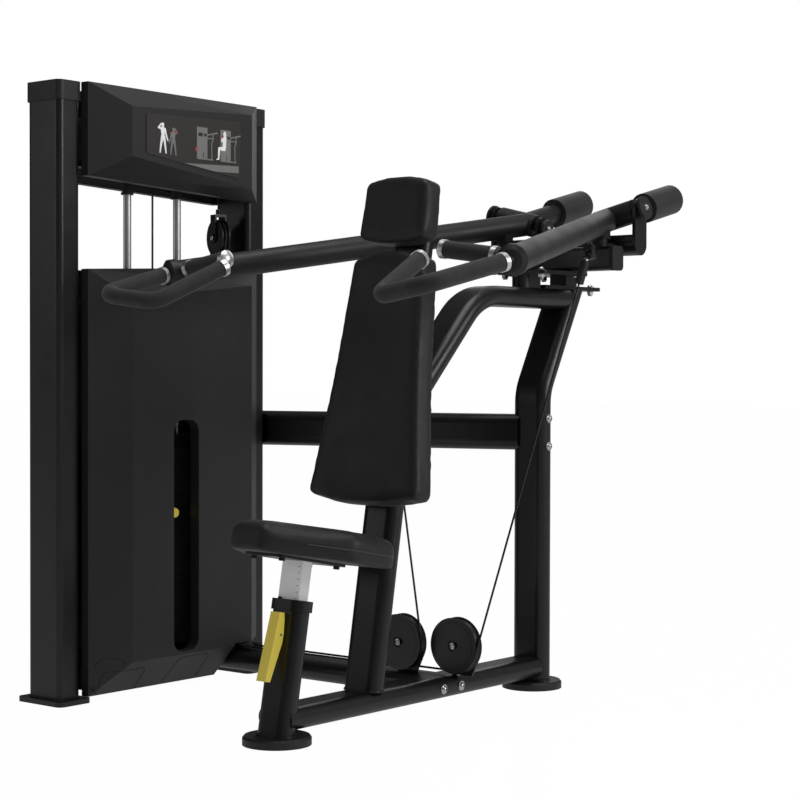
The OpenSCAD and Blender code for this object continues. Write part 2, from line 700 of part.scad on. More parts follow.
// Covers: a flat edge, four sloping facets and a flat middle, as a thin shell.
// Outlines run in (y, z) from the lower front corner round to the lower back one.
cover_x = -685;
skirt = -tower_x - cover_x;
skin = 3;
upper_edge = [[-885, 1274], [-885, 1500], [-296, 1500], [-296, 1248]];
upper_mid = [[-797, 1324], [-797, 1445], [-378, 1465], [-378, 1274]];
lower_edge = [[-885, 16], [-885, 1050], [-625, 1061], [-296, 1067], [-296, 16]];
lower_mid = [[-797, 95], [-797, 981], [-378, 1024], [-378, 95]];
module facet_body(edge, mid, back_x, shrink) hull() {
  across_x(back_x, cover_x - shrink - back_x) offset(delta = -shrink) polygon(edge);
  across_x(cover_x + facet_rise - shrink - 0.5, 0.5) offset(delta = -shrink) polygon(mid);
}
module cover_shell(edge, mid) difference() {
  facet_body(edge, mid, cover_x + skirt, 0);
  facet_body(edge, mid, cover_x + skirt - 1, skin);
}
module upper_cover() difference() {
  cover_shell(upper_edge, upper_mid);
  cap_blocks(0.5, 1);
}
module upper_front_cover() color("dimgray") upper_cover();

slot_y = -614;
slot_z = [102, 681];
slot_w = 87;
slot_r = 30;
slot_wall = 30;                     // depth of the wall that lines the slot
module slot_outline(grow) translate([slot_y, (slot_z[0] + slot_z[1]) / 2])
  soft_rect(slot_w + 2 * grow, slot_z[1] - slot_z[0] + 2 * grow, slot_r + grow);
cut_y = -440;                       // where the cover is cut away over the base cross tube
cut_z = 101;
module lower_front_cover() color("dimgray") difference() {
  union() {
    cover_shell(lower_edge, lower_mid);
    across_x(cover_x + facet_rise - slot_wall, slot_wall - 1) slot_outline(skin);
  }
  across_x(-800, 300) slot_outline(0);
  across_x(-800, 300) polygon([[cut_y - 18, 0], [cut_y, cut_z], [-200, cut_z], [-200, 0]]);
}

// The rear covers are the same shells, turned to face the other side
rear_edge_x = 2 * tower_xm;
module on_rear() translate([rear_edge_x, 0, 0]) mirror([1, 0, 0]) children();
module rear_covers() color("dimgray") on_rear() {
  upper_cover();
  cover_shell(lower_edge, lower_mid);
}

placard_t = 2;
module placard() color("darkslategray") across_x(cover_x + facet_rise, placard_t)
  offset(r = 9) offset(delta = -9) polygon([[-752, 1335], [-752, 1433], [-423, 1443], [-423, 1296]]);

// --- Weight stack ------------------------------------------------------------------

stack_x = -760;
stack_y = -601.5;
rod_y = 86.5;                       // each guide rod's distance from the stem
rod_r = 10;
stack_z = 108;                      // underside of the lowest plate
plate_size = [96, 300];
plate_gap = 0.8;
stem_r = 12;
module guide_rods() color("silver") for (s = [-1, 1])
  translate([stack_x, stack_y + s * rod_y, tube_top]) cylinder(h = rod_top - tube_top, r = rod_r);

buffer_z = [tube_top, 1245];
bush_rim = 6;                       // height of the rim round the foot of each upper bush
floor_sleeve_x = -622;
module rubber_buffers() color("black") {
  for (s = [-1, 1]) {
    translate([stack_x, stack_y + s * rod_y, tube_top]) ring(stack_z - tube_top, 22, rod_r);
    translate([stack_x, stack_y + s * rod_y, buffer_z[1]]) {
      ring(rod_top - 5 - buffer_z[1], 13, rod_r);
      ring(bush_rim, 16, rod_r);
    }
  }
  // sleeves on the floor cables where they come out of the tower
  for (y = run_y) translate([floor_sleeve_x, y, cable_z]) rotate([0, 90, 0]) ring(26, 8.5, cable_r + 0.3);
  // stop bar: end caps and the two buffers that the arms rest on
  for (s = [-1, 1]) translate([s * (bar_half + 5), bar_y, bar_z]) rotate([90, 0, 90])
    linear_extrude(10, center = true) soft_rect(bar_depth + 2, bar_h + 2, 12);
  for (s = [-1, 1]) translate([s * foot_x, bar_y, bar_z + bar_h / 2])
    cylinder(h = foot_z - 0.3 - bar_z - bar_h / 2, r = 14);
}

module plates(first, last) for (i = [first:last])
  translate([stack_x, stack_y, stack_z + i * plate_pitch]) difference() {
    translate([-plate_size.x / 2, -plate_size.y / 2, 0])
      cube([plate_size.x, plate_size.y, plate_pitch - plate_gap]);
    for (y = [-rod_y, rod_y]) translate([0, y, -1]) cylinder(h = plate_pitch + 2, r = rod_r + running);
    translate([0, 0, -1]) cylinder(h = plate_pitch + 2, r = stem_r + gap);
    translate([0, 0, pin_level]) rotate([0, 90, 0]) cylinder(h = plate_size.x, r = pin_hole_r);
  }
pin_level = (plate_pitch - plate_gap) / 2;
pin_hole_r = 5.5;
resting = plate_count - plates_lifted;
module resting_plates() color("dimgray") plates(0, resting - 1);
module lifted_plates() color("dimgray") plates(resting, plate_count - 1);

// Top plate with the drilled stem that the pin goes into
top_plate_z = stack_z + plate_count * plate_pitch;
top_plate_h = 32;
stem_top = top_plate_z + top_plate_h + 60;
pin_z = stack_z + resting * plate_pitch + pin_level;
module selector_stem() color("gray") difference() {
  union() {
    translate([stack_x, stack_y, stack_z + 6]) cylinder(h = stem_top - stack_z - 6, r = stem_r);
    translate([stack_x - 40, stack_y - 130, top_plate_z]) cube([80, 260, top_plate_h]);
  }
  for (y = [-rod_y, rod_y]) translate([stack_x, stack_y + y, top_plate_z - 1])
    cylinder(h = top_plate_h + 2, r = rod_r + running);
  for (i = [0:plate_count - 1]) translate([stack_x, stack_y, stack_z + i * plate_pitch + pin_level])
    rotate([0, 90, 0]) cylinder(h = 40, r = pin_r - 1 + running, center = true);
}
knob_x = -700;
module selector_pin() color("goldenrod") translate([0, stack_y, pin_z]) rotate([0, 90, 0]) {
  translate([0, 0, stack_x - 10]) cylinder(h = knob_x - stack_x + 10, r = pin_r - 1);
  translate([0, 0, knob_x]) cylinder(h = 18, r = 10);
  translate([0, 0, knob_x + 18]) cylinder(h = 7, r1 = 13, r2 = 11);
}

// --- Tower pulleys, floating block and cables --------------------------------------

top_groove_r = 50;
top_pulley_r = 57;
top_pulley_z = 1378;
float_at = [stack_x, -363, 1155];
float_turn = 71;                    // its axle turned from x, seen from above
float_groove_r = 41;
float_r = 48;
small_thick = 22;
stack_pulley_at = [stack_x, stack_y + top_groove_r + lie, top_pulley_z];
block_pulley_at = [stack_x, float_at.y - top_groove_r - lie, top_pulley_z];
module along_x_pulley(at, r, groove_r, thick) translate(at) rotate([0, 90, 0])
  pulley(r, groove_r, thick, pulley_bore + running);
module stack_pulley() color("dimgray") along_x_pulley(stack_pulley_at, top_pulley_r, top_groove_r, small_thick);
module block_pulley() color("dimgray") along_x_pulley(block_pulley_at, top_pulley_r, top_groove_r, small_thick);
module floating_pulley() color("dimgray") translate(float_at) rotate([0, 0, float_turn])
  along_x_pulley([0, 0, 0], float_r, float_groove_r, small_thick);

// The block hangs on its own cable: two cheeks, a bridge over the pulley, the axle and
// the half turn of cable over the pulley
cheek_gap = 14;                     // middle of each cheek from the middle of its pulley
cheek_w = 30;
block_rise = 54;                    // underside of the bridge above the axle
module floating_block() color("black") translate(float_at) rotate([0, 0, float_turn]) {
  for (s = [-1, 1]) translate([s * cheek_gap, 0, 0]) {
    rotate([0, 90, 0]) cylinder(h = 4, r = cheek_w / 2, center = true);
    translate([-2, -cheek_w / 2, 0]) cube([4, cheek_w, block_rise + 6]);
  }
  translate([-16, -cheek_w / 2, block_rise]) cube([32, cheek_w, 6]);
  translate([0, 0, block_rise + 5]) cylinder(h = 15, r = 7);
  rotate([0, 90, 0]) cylinder(h = 38, r = pulley_bore, center = true);
  rotate([90, 0, 90]) wrap(float_groove_r + lie, 0, 180);
}

foot_pulley_r = 52;
foot_groove_r = 45;
cable_z = base_pulley_z - base_groove_r - lie;
foot_pulley_x = -722;
foot_pulley_z = cable_z + foot_groove_r + lie;
run_y = [right_pulley_at.y, left_pulley_at.y];
module tower_foot_pulleys() color("dimgray") for (y = run_y)
  along_y_pulley([foot_pulley_x, y, foot_pulley_z], foot_pulley_r, foot_groove_r, small_thick);

module pulley_brackets() color("black") {
  // base pulleys: a low front cheek, a taller rear cheek and the axle
  for (at = [left_pulley_at, right_pulley_at]) {
    rear = at.y + pulley_thick / 2 + 1;
    translate([0, rear + 5, 0]) rotate([90, 0, 0]) linear_extrude(5)
      polygon([[at.x - 22, tube_top], [at.x + 36, tube_top], [at.x + 52, tube_top + 34], [at.x + 16, at.z + 18],
        [at.x - 16, at.z + 18]]);
    translate([at.x, rear + 5, at.z]) rotate([90, 0, 0]) cylinder(h = pulley_thick + 8, r = pulley_bore);
  }
  // tower top: cheeks hanging from the top beam
  for (at = [stack_pulley_at, block_pulley_at]) {
    for (s = [-1, 1]) translate([at.x + s * 15 - 2.5, at.y - 20, at.z - 20]) cube([5, 40, top_beam_z - at.z + 20]);
    translate(at) rotate([0, 90, 0]) cylinder(h = 40, r = pulley_bore, center = true);
  }
  // tower foot: two cheeks and one axle for both pulleys, standing on the base beam
  for (y = [run_y[0] - 19, run_y[1] + 14]) translate([foot_pulley_x - 20, y, tube_top])
    cube([35, 5, foot_pulley_z + 15 - tube_top]);
  translate([foot_pulley_x, run_y[1] + 22, foot_pulley_z]) rotate([90, 0, 0])
    cylinder(h = run_y[1] - run_y[0] + 44, r = pulley_bore);
}

// Cables: up from the stack, down to the block, over the block and along the floor
block_top = block_rise + 21;        // top of the block above its pulley's middle
module stack_cable() color("black") translate([stack_x, stack_y, stem_top + 1])
  cylinder(h = top_pulley_z - stem_top - 1, r = cable_r);
module block_cable() color("black") translate([stack_x, float_at.y, float_at.z + block_top])
  cylinder(h = top_pulley_z - float_at.z - block_top, r = cable_r);
loop_top = [for (s = [-1, 1]) float_at + s * (float_groove_r + lie) * [-sin(float_turn), cos(float_turn), 0]];
loop_foot = [for (y = run_y) [foot_pulley_x - foot_groove_r - lie, y, foot_pulley_z]];
module loop_cables() color("black") for (i = [0, 1]) cable_run(loop_foot[i], loop_top[i], cable_short);

// Turn of cable round a pulley along z, and the cables that keep their place: along
// the floor, over the top of the tower and round its pulleys
module wrap(r, from, sweep) rotate([0, 0, from]) rotate_extrude(angle = sweep)
  translate([r, 0]) circle(r = cable_r, $fn = 16);
module still_cables() color("black") {
  for (at = [left_pulley_at, right_pulley_at]) {
    translate([foot_pulley_x, at.y, cable_z]) rotate([0, 90, 0]) cylinder(h = at.x - foot_pulley_x, r = cable_r);
    translate([foot_pulley_x, at.y, foot_pulley_z]) rotate([90, 0, 0]) wrap(foot_groove_r + lie, -180, 90);
  }
  translate(left_pulley_at) rotate([90, 0, 0]) wrap(base_wrap_r, -90, 90 + left_turn);
  translate(right_pulley_at) rotate([90, 0, 0]) wrap(base_wrap_r, -90, 90 + right_turn);
  rod(stack_pulley_at + [0, 0, top_groove_r + lie], block_pulley_at + [0, 0, top_groove_r + lie], cable_r);
  translate(stack_pulley_at) rotate([90, 0, 90]) wrap(top_groove_r + lie, 90, 90);
  translate(block_pulley_at) rotate([90, 0, 90]) wrap(top_groove_r + lie, 0, 90);
}

// --- Fasteners ---------------------------------------------------------------------

bolt_r = 9;
bolt_rise = 6.5;
washer_t = 1.6;
// Button head with a hexagon socket on a washer, standing up along z
module bolt_head(r = bolt_r) {
  ball = (r * r + bolt_rise * bolt_rise) / (2 * bolt_rise);
  cylinder(h = washer_t, r = r + 2.5);
  translate([0, 0, washer_t]) difference() {
    intersection() {
      translate([0, 0, bolt_rise - ball]) sphere(r = ball);
      cylinder(h = bolt_rise, r = r);
    }
    translate([0, 0, bolt_rise / 2]) cylinder(h = bolt_rise, r = r * 0.45, $fn = 6);
  }
}
// Bolt up through a plate of thickness t that starts at z = 0
module through_bolt(t) {
  translate([0, 0, t]) bolt_head(8);
  translate([0, 0, -12]) cylinder(h = 12 + t, r = 5.9);
  translate([0, 0, -8]) cylinder(h = 8, r = 9, $fn = 6);
}
module frame_bolts() color("silver") {
  // rear post to the upper cross tube, base tube to the base cross tube
  for (z = [615, 685]) translate([tube_w / 2, 0, z]) rotate([0, 90, 0]) bolt_head();
  for (y = [-431, -363]) translate([tube_w / 2, y, base_z]) rotate([0, 90, 0]) bolt_head();
  // through the deck plate, heads up and nuts below, and through the tail plate
  for (b = deck_bolts) translate([b.x, b.y, deck_z]) through_bolt(plate_t);
  translate([0, tail_bolt_y, post_top_z]) through_bolt(plate_t);
  // middle of the arm pivot caps and of the base pulleys
  both_sides() pivot_frame() rotate([0, 90, 0]) {
    translate([0, 0, axle_out + cap_t]) bolt_head(6);
    translate([0, 0, axle_in - cap_t]) rotate([180, 0, 0]) bolt_head(6);
  }
  for (at = [left_pulley_at, right_pulley_at]) translate([at.x, at.y - pulley_thick / 2 - 2, at.z])
    rotate([90, 0, 0]) bolt_head(5);
  // pin of the seat lever
  seat_frame() translate([-lever_w / 2 - 1, lever_pin.x, lever_pin.y]) rotate([0, 90, 0])
    cylinder(h = lever_w + 2, r = 3);
}

// --- Nodes -------------------------------------------------------------------------

front_upright();
rear_upright();
upright_caps();
tower_beams();
upper_front_cover();
lower_front_cover();
rear_covers();
placard();
guide_rods();
rubber_buffers();
resting_plates();
lifted_plates();
selector_stem();
selector_pin();
stack_pulley();
block_pulley();
tower_foot_pulleys();
pulley_brackets();
floating_block();
floating_pulley();
stack_cable();
block_cable();
loop_cables();
still_cables();
left_cable();
right_cable();
floor_discs();
base_tube();
base_cross_tube();
upper_cross_tube();
rear_post();
bridge_tube();
back_post();
pedestal();
pedestal_collar();
head_plates();
stop_bar();
pivot_yoke();
pivot_axles();
pivot_bushes();
frame_bolts();
seat_post();
seat_plate();
seat_pad();
seat_lever();
back_pad();
head_pad();
pad_plates();
left_base_pulley();
right_base_pulley();
left_arm();
right_arm();
left_counterweight();
right_counterweight();
left_grips();
right_grips();
left_grip_ends();
right_grip_ends();
left_cable_end();
right_cable_end();
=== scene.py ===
"""Looks of the shoulder press machine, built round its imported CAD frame.

Metres, +Z up.  X = 0 is the middle plane of the seat, +X is the user's left, -Y is the
way the user faces, and the weight tower stands on the -X side.
"""
import math

import bmesh
import bpy
import numpy as np
from mathutils import Euler, Matrix, Vector
from mathutils.bvhtree import BVHTree


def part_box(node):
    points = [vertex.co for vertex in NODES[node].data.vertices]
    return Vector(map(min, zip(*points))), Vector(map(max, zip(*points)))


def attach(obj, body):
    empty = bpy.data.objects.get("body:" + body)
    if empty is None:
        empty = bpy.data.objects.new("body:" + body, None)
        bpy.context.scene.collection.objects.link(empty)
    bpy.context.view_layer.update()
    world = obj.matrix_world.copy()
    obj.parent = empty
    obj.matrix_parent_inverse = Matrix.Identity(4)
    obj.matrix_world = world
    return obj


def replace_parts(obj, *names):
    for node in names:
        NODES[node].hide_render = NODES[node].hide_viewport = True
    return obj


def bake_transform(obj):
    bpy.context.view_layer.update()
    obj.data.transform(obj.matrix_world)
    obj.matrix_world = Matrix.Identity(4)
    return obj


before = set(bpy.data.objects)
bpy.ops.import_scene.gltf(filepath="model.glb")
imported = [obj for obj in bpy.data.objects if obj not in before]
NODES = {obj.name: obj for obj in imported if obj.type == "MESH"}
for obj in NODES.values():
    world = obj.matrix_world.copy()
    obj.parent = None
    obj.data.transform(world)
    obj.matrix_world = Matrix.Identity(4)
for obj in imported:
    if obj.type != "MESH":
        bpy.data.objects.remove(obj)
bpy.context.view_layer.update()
MM = 0.001

# --- Materials -----------------------------------------------------------------------


class Paint:
    """A Principled material whose colour, roughness and relief come from procedural nodes."""

    def __init__(self, name, colour, rough, metal=0.0, **extra):
        self.mat = bpy.data.materials.new(name)
        self.mat.use_nodes = True
        self.tree = self.mat.node_tree
        self.bsdf = self.tree.nodes["Principled BSDF"]
        self.bsdf.inputs["Base Color"].default_value = (*colour, 1.0)
        self.bsdf.inputs["Roughness"].default_value = rough
        self.bsdf.inputs["Metallic"].default_value = metal
        for key, value in extra.items():
            self.bsdf.inputs[key.replace("_", " ")].default_value = value
        self.colour = colour
        self.rough = rough
        self.normal = None
        self.place = self.node("ShaderNodeTexCoord").outputs["Object"]

    def node(self, kind, **settings):
        """A new shader node with its settings."""
        made = self.tree.nodes.new(kind)
        for key, value in settings.items():
            setattr(made, key, value)
        return made

    def join(self, source, target):
        """Links an output socket to an input socket."""
        self.tree.links.new(source, target)

    def stretched(self, scale):
        """Object coordinates scaled by a number or by three numbers."""
        scale = scale if hasattr(scale, "__len__") else (scale, scale, scale)
        mapping = self.node("ShaderNodeMapping")
        mapping.inputs["Scale"].default_value = scale
        self.join(self.place, mapping.inputs["Vector"])
        return mapping.outputs["Vector"]

    def noise(self, scale, detail=3.0, rough=0.55):
        """Noise at so many grains a metre."""
        texture = self.node("ShaderNodeTexNoise")
        texture.inputs["Scale"].default_value = 1.0
        texture.inputs["Detail"].default_value = detail
        texture.inputs["Roughness"].default_value = rough
        self.join(self.stretched(scale), texture.inputs["Vector"])
        return texture.outputs["Fac"]

    def cells(self, scale, feature="F1", smooth=False):
        """Voronoi cells at so many a metre."""
        texture = self.node("ShaderNodeTexVoronoi", feature="SMOOTH_F1" if smooth else feature)
        texture.inputs["Scale"].default_value = 1.0
        self.join(self.stretched(scale), texture.inputs["Vector"])
        return texture.outputs["Distance"]

    def spread(self, source, low, high, start=0.3, end=0.7):
        """Maps source from start..end to low..high."""
        ranger = self.node("ShaderNodeMapRange")
        for key, value in (("From Min", start), ("From Max", end), ("To Min", low), ("To Max", high)):
            ranger.inputs[key].default_value = value
        self.join(source, ranger.inputs["Value"])
        return ranger.outputs["Result"]

    def mix(self, factor, first, second):
        """Colour mix; first and second are colours or sockets."""
        mixer = self.node("ShaderNodeMix", data_type="RGBA")
        for socket, value in ((mixer.inputs[6], first), (mixer.inputs[7], second)):
            if hasattr(value, "is_output"):
                self.join(value, socket)
            else:
                socket.default_value = (*value, 1.0)
        self.join(factor, mixer.inputs[0])
        return mixer.outputs[2]

    def mottle(self, scale, amount):
        """Soft colour variation round the base colour."""
        dark = tuple(c * (1 - amount) for c in self.colour)
        light = tuple(min(1.0, c * (1 + amount)) for c in self.colour)
        shade = self.mix(self.spread(self.noise(scale), 0.0, 1.0), dark, light)
        self.join(shade, self.bsdf.inputs["Base Color"])
        return shade

    def uneven(self, scale, amount):
        """Roughness that varies round the base value."""
        level = self.spread(self.noise(scale), self.rough - amount, self.rough + amount)
        self.join(level, self.bsdf.inputs["Roughness"])

    def relief(self, height, depth, strength=1.0):
        """Adds one layer of bump, depth in metres."""
        bump = self.node("ShaderNodeBump")
        bump.inputs["Distance"].default_value = depth
        bump.inputs["Strength"].default_value = strength
        self.join(height, bump.inputs["Height"])
        if self.normal is not None:
            self.join(self.normal, bump.inputs["Normal"])
        self.normal = bump.outputs["Normal"]
        self.join(self.normal, self.bsdf.inputs["Normal"])

    def edge_wear_and_painted_highlight(self, reach, colour, amount=1.0):
        """Lightens the outermost reach metres of each sharp edge, in broken patches: wear and painted
        highlight.
        """
        bevel = self.node("ShaderNodeBevel", samples=4)
        bevel.inputs["Radius"].default_value = reach
        geometry = self.node("ShaderNodeNewGeometry")
        dot = self.node("ShaderNodeVectorMath", operation="DOT_PRODUCT")
        self.join(bevel.outputs["Normal"], dot.inputs[0])
        self.join(geometry.outputs["Normal"], dot.inputs[1])
        edge = self.spread(dot.outputs["Value"], amount, 0.0, 0.80, 0.97)
        patch = self.spread(self.noise(60.0), 0.15, 1.0, 0.42, 0.62)
        product = self.node("ShaderNodeMath", operation="MULTIPLY", use_clamp=True)
        self.join(edge, product.inputs[0])
        self.join(patch, product.inputs[1])
        link = self.bsdf.inputs["Base Color"].links
        under = link[0].from_socket if link else self.colour
        self.join(self.mix(product.outputs[0], under, colour), self.bsdf.inputs["Base Color"])


def powder_coat(name, colour, rough):
    """Baked powder paint: orange-peel relief, slight sheen changes, edges a little lighter as wear and
    painted highlight.
    """
    paint = Paint(name, colour, rough)
    paint.mottle(9.0, 0.12)
    paint.uneven(14.0, 0.05)
    paint.relief(paint.noise(520.0, 2.0), 0.00006, 0.55)
    paint.relief(paint.noise(2400.0, 1.0), 0.00002, 0.5)
    # Edges lightened about three times: wear and painted highlight.
    paint.edge_wear_and_painted_highlight(0.0016, tuple(c * 3.2 + 0.012 for c in colour), 0.55)
    return paint.mat


def moulded(name, colour, rough, grain=900.0, depth=0.00005, glow=0.0):
    """Spark-eroded plastic: fine dimples and a faint cloudiness; glow is painted light, an emission
    that brightens the plastic as if lit.
    """
    plastic = Paint(name, colour, rough, Emission_Strength=glow)
    plastic.bsdf.inputs["Emission Color"].default_value = (*colour, 1.0)
    plastic.mottle(6.0, 0.08)
    plastic.uneven(11.0, 0.04)
    plastic.relief(plastic.cells(grain), depth, 0.6)
    plastic.relief(plastic.noise(grain * 2.2, 2.0), depth * 0.5, 0.5)
    return plastic.mat


def leatherette(name, colour):
    """Fine-grained artificial leather: pebbled cells, creases between them, broad sheen changes."""
    hide = Paint(name, colour, 0.50, Specular_IOR_Level=0.42, Sheen_Weight=0.08, Sheen_Roughness=0.4)
    hide.mottle(7.0, 0.16)
    hide.uneven(16.0, 0.06)
    hide.relief(hide.cells(620.0, smooth=True), 0.00022, 0.75)
    hide.relief(hide.cells(1500.0), 0.00006, 0.5)
    hide.relief(hide.noise(38.0, 2.0), 0.0009, 0.25)
    return hide.mat


def foam(name, colour):
    """Closed-cell foam rubber: open pores on a skin, matt."""
    skin = Paint(name, colour, 0.72, Specular_IOR_Level=0.35, Sheen_Weight=0.15, Sheen_Roughness=0.5)
    skin.mottle(45.0, 0.15)
    skin.uneven(60.0, 0.06)
    skin.relief(skin.cells(900.0), 0.0002, 0.8)
    skin.relief(skin.noise(1900.0, 2.0), 0.0001, 0.6)
    return skin.mat


def steel(name, colour, rough, across=(30.0, 30.0, 1800.0), depth=0.000003, metal=1.0, glow=0.0):
    """Brushed or turned steel: fine scratches stretched along one axis; glow is painted light, an
    emission that brightens the bar.
    """
    bar = Paint(name, colour, rough, metal, Emission_Strength=glow)
    bar.bsdf.inputs["Emission Color"].default_value = (*colour, 1.0)
    bar.mottle(20.0, 0.06)
    scratch = bar.noise(across, 4.0, 0.6)
    level = bar.spread(scratch, rough - 0.04, rough + 0.06)
    bar.join(level, bar.bsdf.inputs["Roughness"])
    bar.relief(scratch, depth, 0.6)
    return bar.mat


def chrome(name):
    """Polished chrome with a trace of smears."""
    metal = Paint(name, (0.84, 0.84, 0.85), 0.36, 1.0)
    metal.mottle(60.0, 0.03)
    metal.uneven(70.0, 0.03)
    metal.relief(metal.noise(900.0, 2.0), 0.000001, 0.3)
    return metal.mat


def cast_plates(name):
    """Painted steel plates: a slightly cast skin and rubbed edges, lightened as wear and painted
    highlight.
    """
    iron = Paint(name, (0.030, 0.030, 0.032), 0.46)
    iron.mottle(25.0, 0.25)
    iron.uneven(30.0, 0.07)
    iron.relief(iron.noise(300.0, 3.0), 0.00012, 0.6)
    # Edges lightened to pale grey: wear and painted highlight.
    iron.edge_wear_and_painted_highlight(0.0014, (0.16, 0.16, 0.165), 0.7)
    return iron.mat


def cable_sheath(name):
    """Nylon-coated steel cable: the strands show through as a fine twist."""
    sheath = Paint(name, (0.012, 0.012, 0.013), 0.34, Specular_IOR_Level=0.5)
    wave = sheath.node("ShaderNodeTexWave", wave_type="BANDS", bands_direction="DIAGONAL")
    wave.inputs["Scale"].default_value = 110.0
    wave.inputs["Distortion"].default_value = 0.6
    sheath.join(sheath.place, wave.inputs["Vector"])
    sheath.relief(wave.outputs["Fac"], 0.0002, 0.5)
    sheath.uneven(80.0, 0.06)
    return sheath.mat


def bushing(name):
    """Oiled sintered bronze."""
    metal = Paint(name, (0.16, 0.125, 0.085), 0.5, 1.0)
    metal.mottle(300.0, 0.15)
    metal.relief(metal.noise(1500.0, 2.0), 0.00003, 0.6)
    return metal.mat


def printed(name, colour, rough=0.32, glow=0.0):
    """Ink or film on the placard: a satin layer with a faint grain; glow is painted light, an emission
    that brightens the ink.
    """
    ink = Paint(name, colour, rough, Specular_IOR_Level=0.4, Emission_Strength=glow)
    ink.bsdf.inputs["Emission Color"].default_value = (*colour, 1.0)
    ink.mottle(30.0, 0.05)
    ink.relief(ink.noise(2500.0, 1.0), 0.00001, 0.3)
    return ink.mat


FRAME_BLACK = powder_coat("frame_black", (0.0080, 0.0080, 0.0085), 0.32)
ARM_BLACK = powder_coat("arm_black", (0.0095, 0.0095, 0.0100), 0.50)
COUNTER_GREY = powder_coat("counterweight_grey", (0.030, 0.030, 0.031), 0.50)
COVER_GREY = moulded("cover_charcoal", (0.0155, 0.0155, 0.0160), 0.56)
CAP_GREY = moulded("cap_grey", (0.0135, 0.0135, 0.0140), 0.48)
PULLEY_BLACK = moulded("pulley_nylon", (0.012, 0.012, 0.012), 0.38, 1400.0, 0.00003)
RUBBER = moulded("rubber_black", (0.011, 0.011, 0.011), 0.62, 1100.0, 0.00008)
# The mustard plastic glows at 0.28: painted light that brightens it.
MUSTARD = moulded("mustard_moulding", (0.60, 0.48, 0.065), 0.42, 1200.0, 0.00003, glow=0.28)
PAD_HIDE = leatherette("pad_leatherette", (0.0125, 0.0125, 0.0130))
GRIP_FOAM = foam("grip_foam", (0.026, 0.026, 0.027))
ROD_STEEL = steel("rod_steel", (0.60, 0.60, 0.61), 0.36, (1500.0, 1500.0, 60.0))
# The seat post glows at 0.12: painted light that brightens its faces.
POST_STEEL = steel(
    "post_steel", (0.82, 0.82, 0.82), 0.42, (1600.0, 1600.0, 40.0), metal=0.3, glow=0.12
)
ZINC = steel("zinc_bolt", (0.58, 0.58, 0.60), 0.27, (900.0, 900.0, 900.0))
CHROME = chrome("grip_chrome")
PLATE_IRON = cast_plates("stack_iron")
CABLE = cable_sheath("cable_sheath")
BRONZE = bushing("bush_bronze")
PLACARD = printed("placard_ground", (0.048, 0.042, 0.041))

NODE_MATERIALS = {
    COVER_GREY: ["upper_front_cover", "lower_front_cover", "rear_covers"],
    CAP_GREY: ["upright_caps", "floor_discs", "pivot_axles"],
    PULLEY_BLACK: [
        "stack_pulley", "block_pulley", "floating_pulley", "tower_foot_pulleys",
        "left_base_pulley", "right_base_pulley",
    ],
    RUBBER: ["rubber_buffers", "left_cable_end", "right_cable_end"],
    MUSTARD: ["seat_lever", "selector_pin"],
    ROD_STEEL: ["guide_rods", "selector_stem"],
    POST_STEEL: ["seat_post"],
    ZINC: ["frame_bolts"],
    CHROME: ["left_grip_ends", "right_grip_ends"],
    PLATE_IRON: ["resting_plates", "lifted_plates"],
    CABLE: ["still_cables"],
    BRONZE: ["pivot_bushes"],
    PLACARD: ["placard"],
    GRIP_FOAM: ["left_grips", "right_grips"],
    ARM_BLACK: ["left_arm", "right_arm"],
    COUNTER_GREY: ["left_counterweight", "right_counterweight"],
}


SMOOTH_BELOW = math.radians(32)
SMOOTH_DOMES_BELOW = math.radians(60)


def dress_cad():
    """Gives each CAD node its material and smooths its round faces; the rest is frame black."""
    chosen = {node: mat for mat, names in NODE_MATERIALS.items() for node in names}
    for name, obj in NODES.items():
        obj.data.materials.clear()
        obj.data.materials.append(chosen.get(name, FRAME_BLACK))
        obj.data.shade_smooth()
        limit = SMOOTH_DOMES_BELOW if name.endswith("grip_ends") else SMOOTH_BELOW
        obj.data.set_sharp_from_angle(angle=limit)


dress_cad()

# --- Mesh helpers --------------------------------------------------------------------


def new_object(name, bm, material, smooth_angle=35.0):
    """Turns a bmesh into an object of this name and material."""
    bmesh.ops.recalc_face_normals(bm, faces=bm.faces)
    mesh = bpy.data.meshes.new(name)
    bm.to_mesh(mesh)
    bm.free()
    mesh.materials.append(material)
    mesh.shade_smooth()
    mesh.set_sharp_from_angle(angle=math.radians(smooth_angle))
    obj = bpy.data.objects.new(name, mesh)
    bpy.context.scene.collection.objects.link(obj)
    return obj


def apply_modifiers(obj):
    """Bakes the evaluated mesh into obj and drops its modifiers."""
    bpy.context.view_layer.update()
    graph = bpy.context.evaluated_depsgraph_get()
    baked = bpy.data.meshes.new_from_object(obj.evaluated_get(graph))
    obj.modifiers.clear()
    obj.data = baked


def skin(bm, rings):
    """Joins rings of equally many vertices, one after another."""
    for lower, upper in zip(rings, rings[1:]):
        for k in range(len(lower)):
            n = (k + 1) % len(lower)
            bm.faces.new((lower[k], lower[n], upper[n], upper[k]))


def cap(bm, rings):
    """Closes the first and the last ring."""
    bm.faces.new(list(reversed(rings[0])))
    bm.faces.new(rings[-1])


def circle_turns(sides):
    """Angles of the corners of a circle."""
    return [2 * math.pi * k / sides for k in range(sides)]


def tube_path(bm, points, radius, sides=12, closed=False):
    """Sweeps a circle along a list of points without twist; an open tube gets flat ends."""
    points = [Vector(p) for p in points]
    count = len(points)
    rings = []
    up = None
    for i, here in enumerate(points):
        ahead = points[(i + 1) % count] if closed or i < count - 1 else here
        behind = points[i - 1] if closed or i > 0 else here
        along = (ahead - behind).normalized()
        if up is None:
            up = along.orthogonal().normalized()
        up = (up - along * up.dot(along)).normalized()
        side = along.cross(up)
        ring = [here + radius * (math.cos(t) * up + math.sin(t) * side) for t in circle_turns(sides)]
        rings.append([bm.verts.new(corner) for corner in ring])
    if closed:
        skin(bm, rings + rings[:1])
    else:
        skin(bm, rings)
        cap(bm, rings)


# --- Pads ----------------------------------------------------------------------------

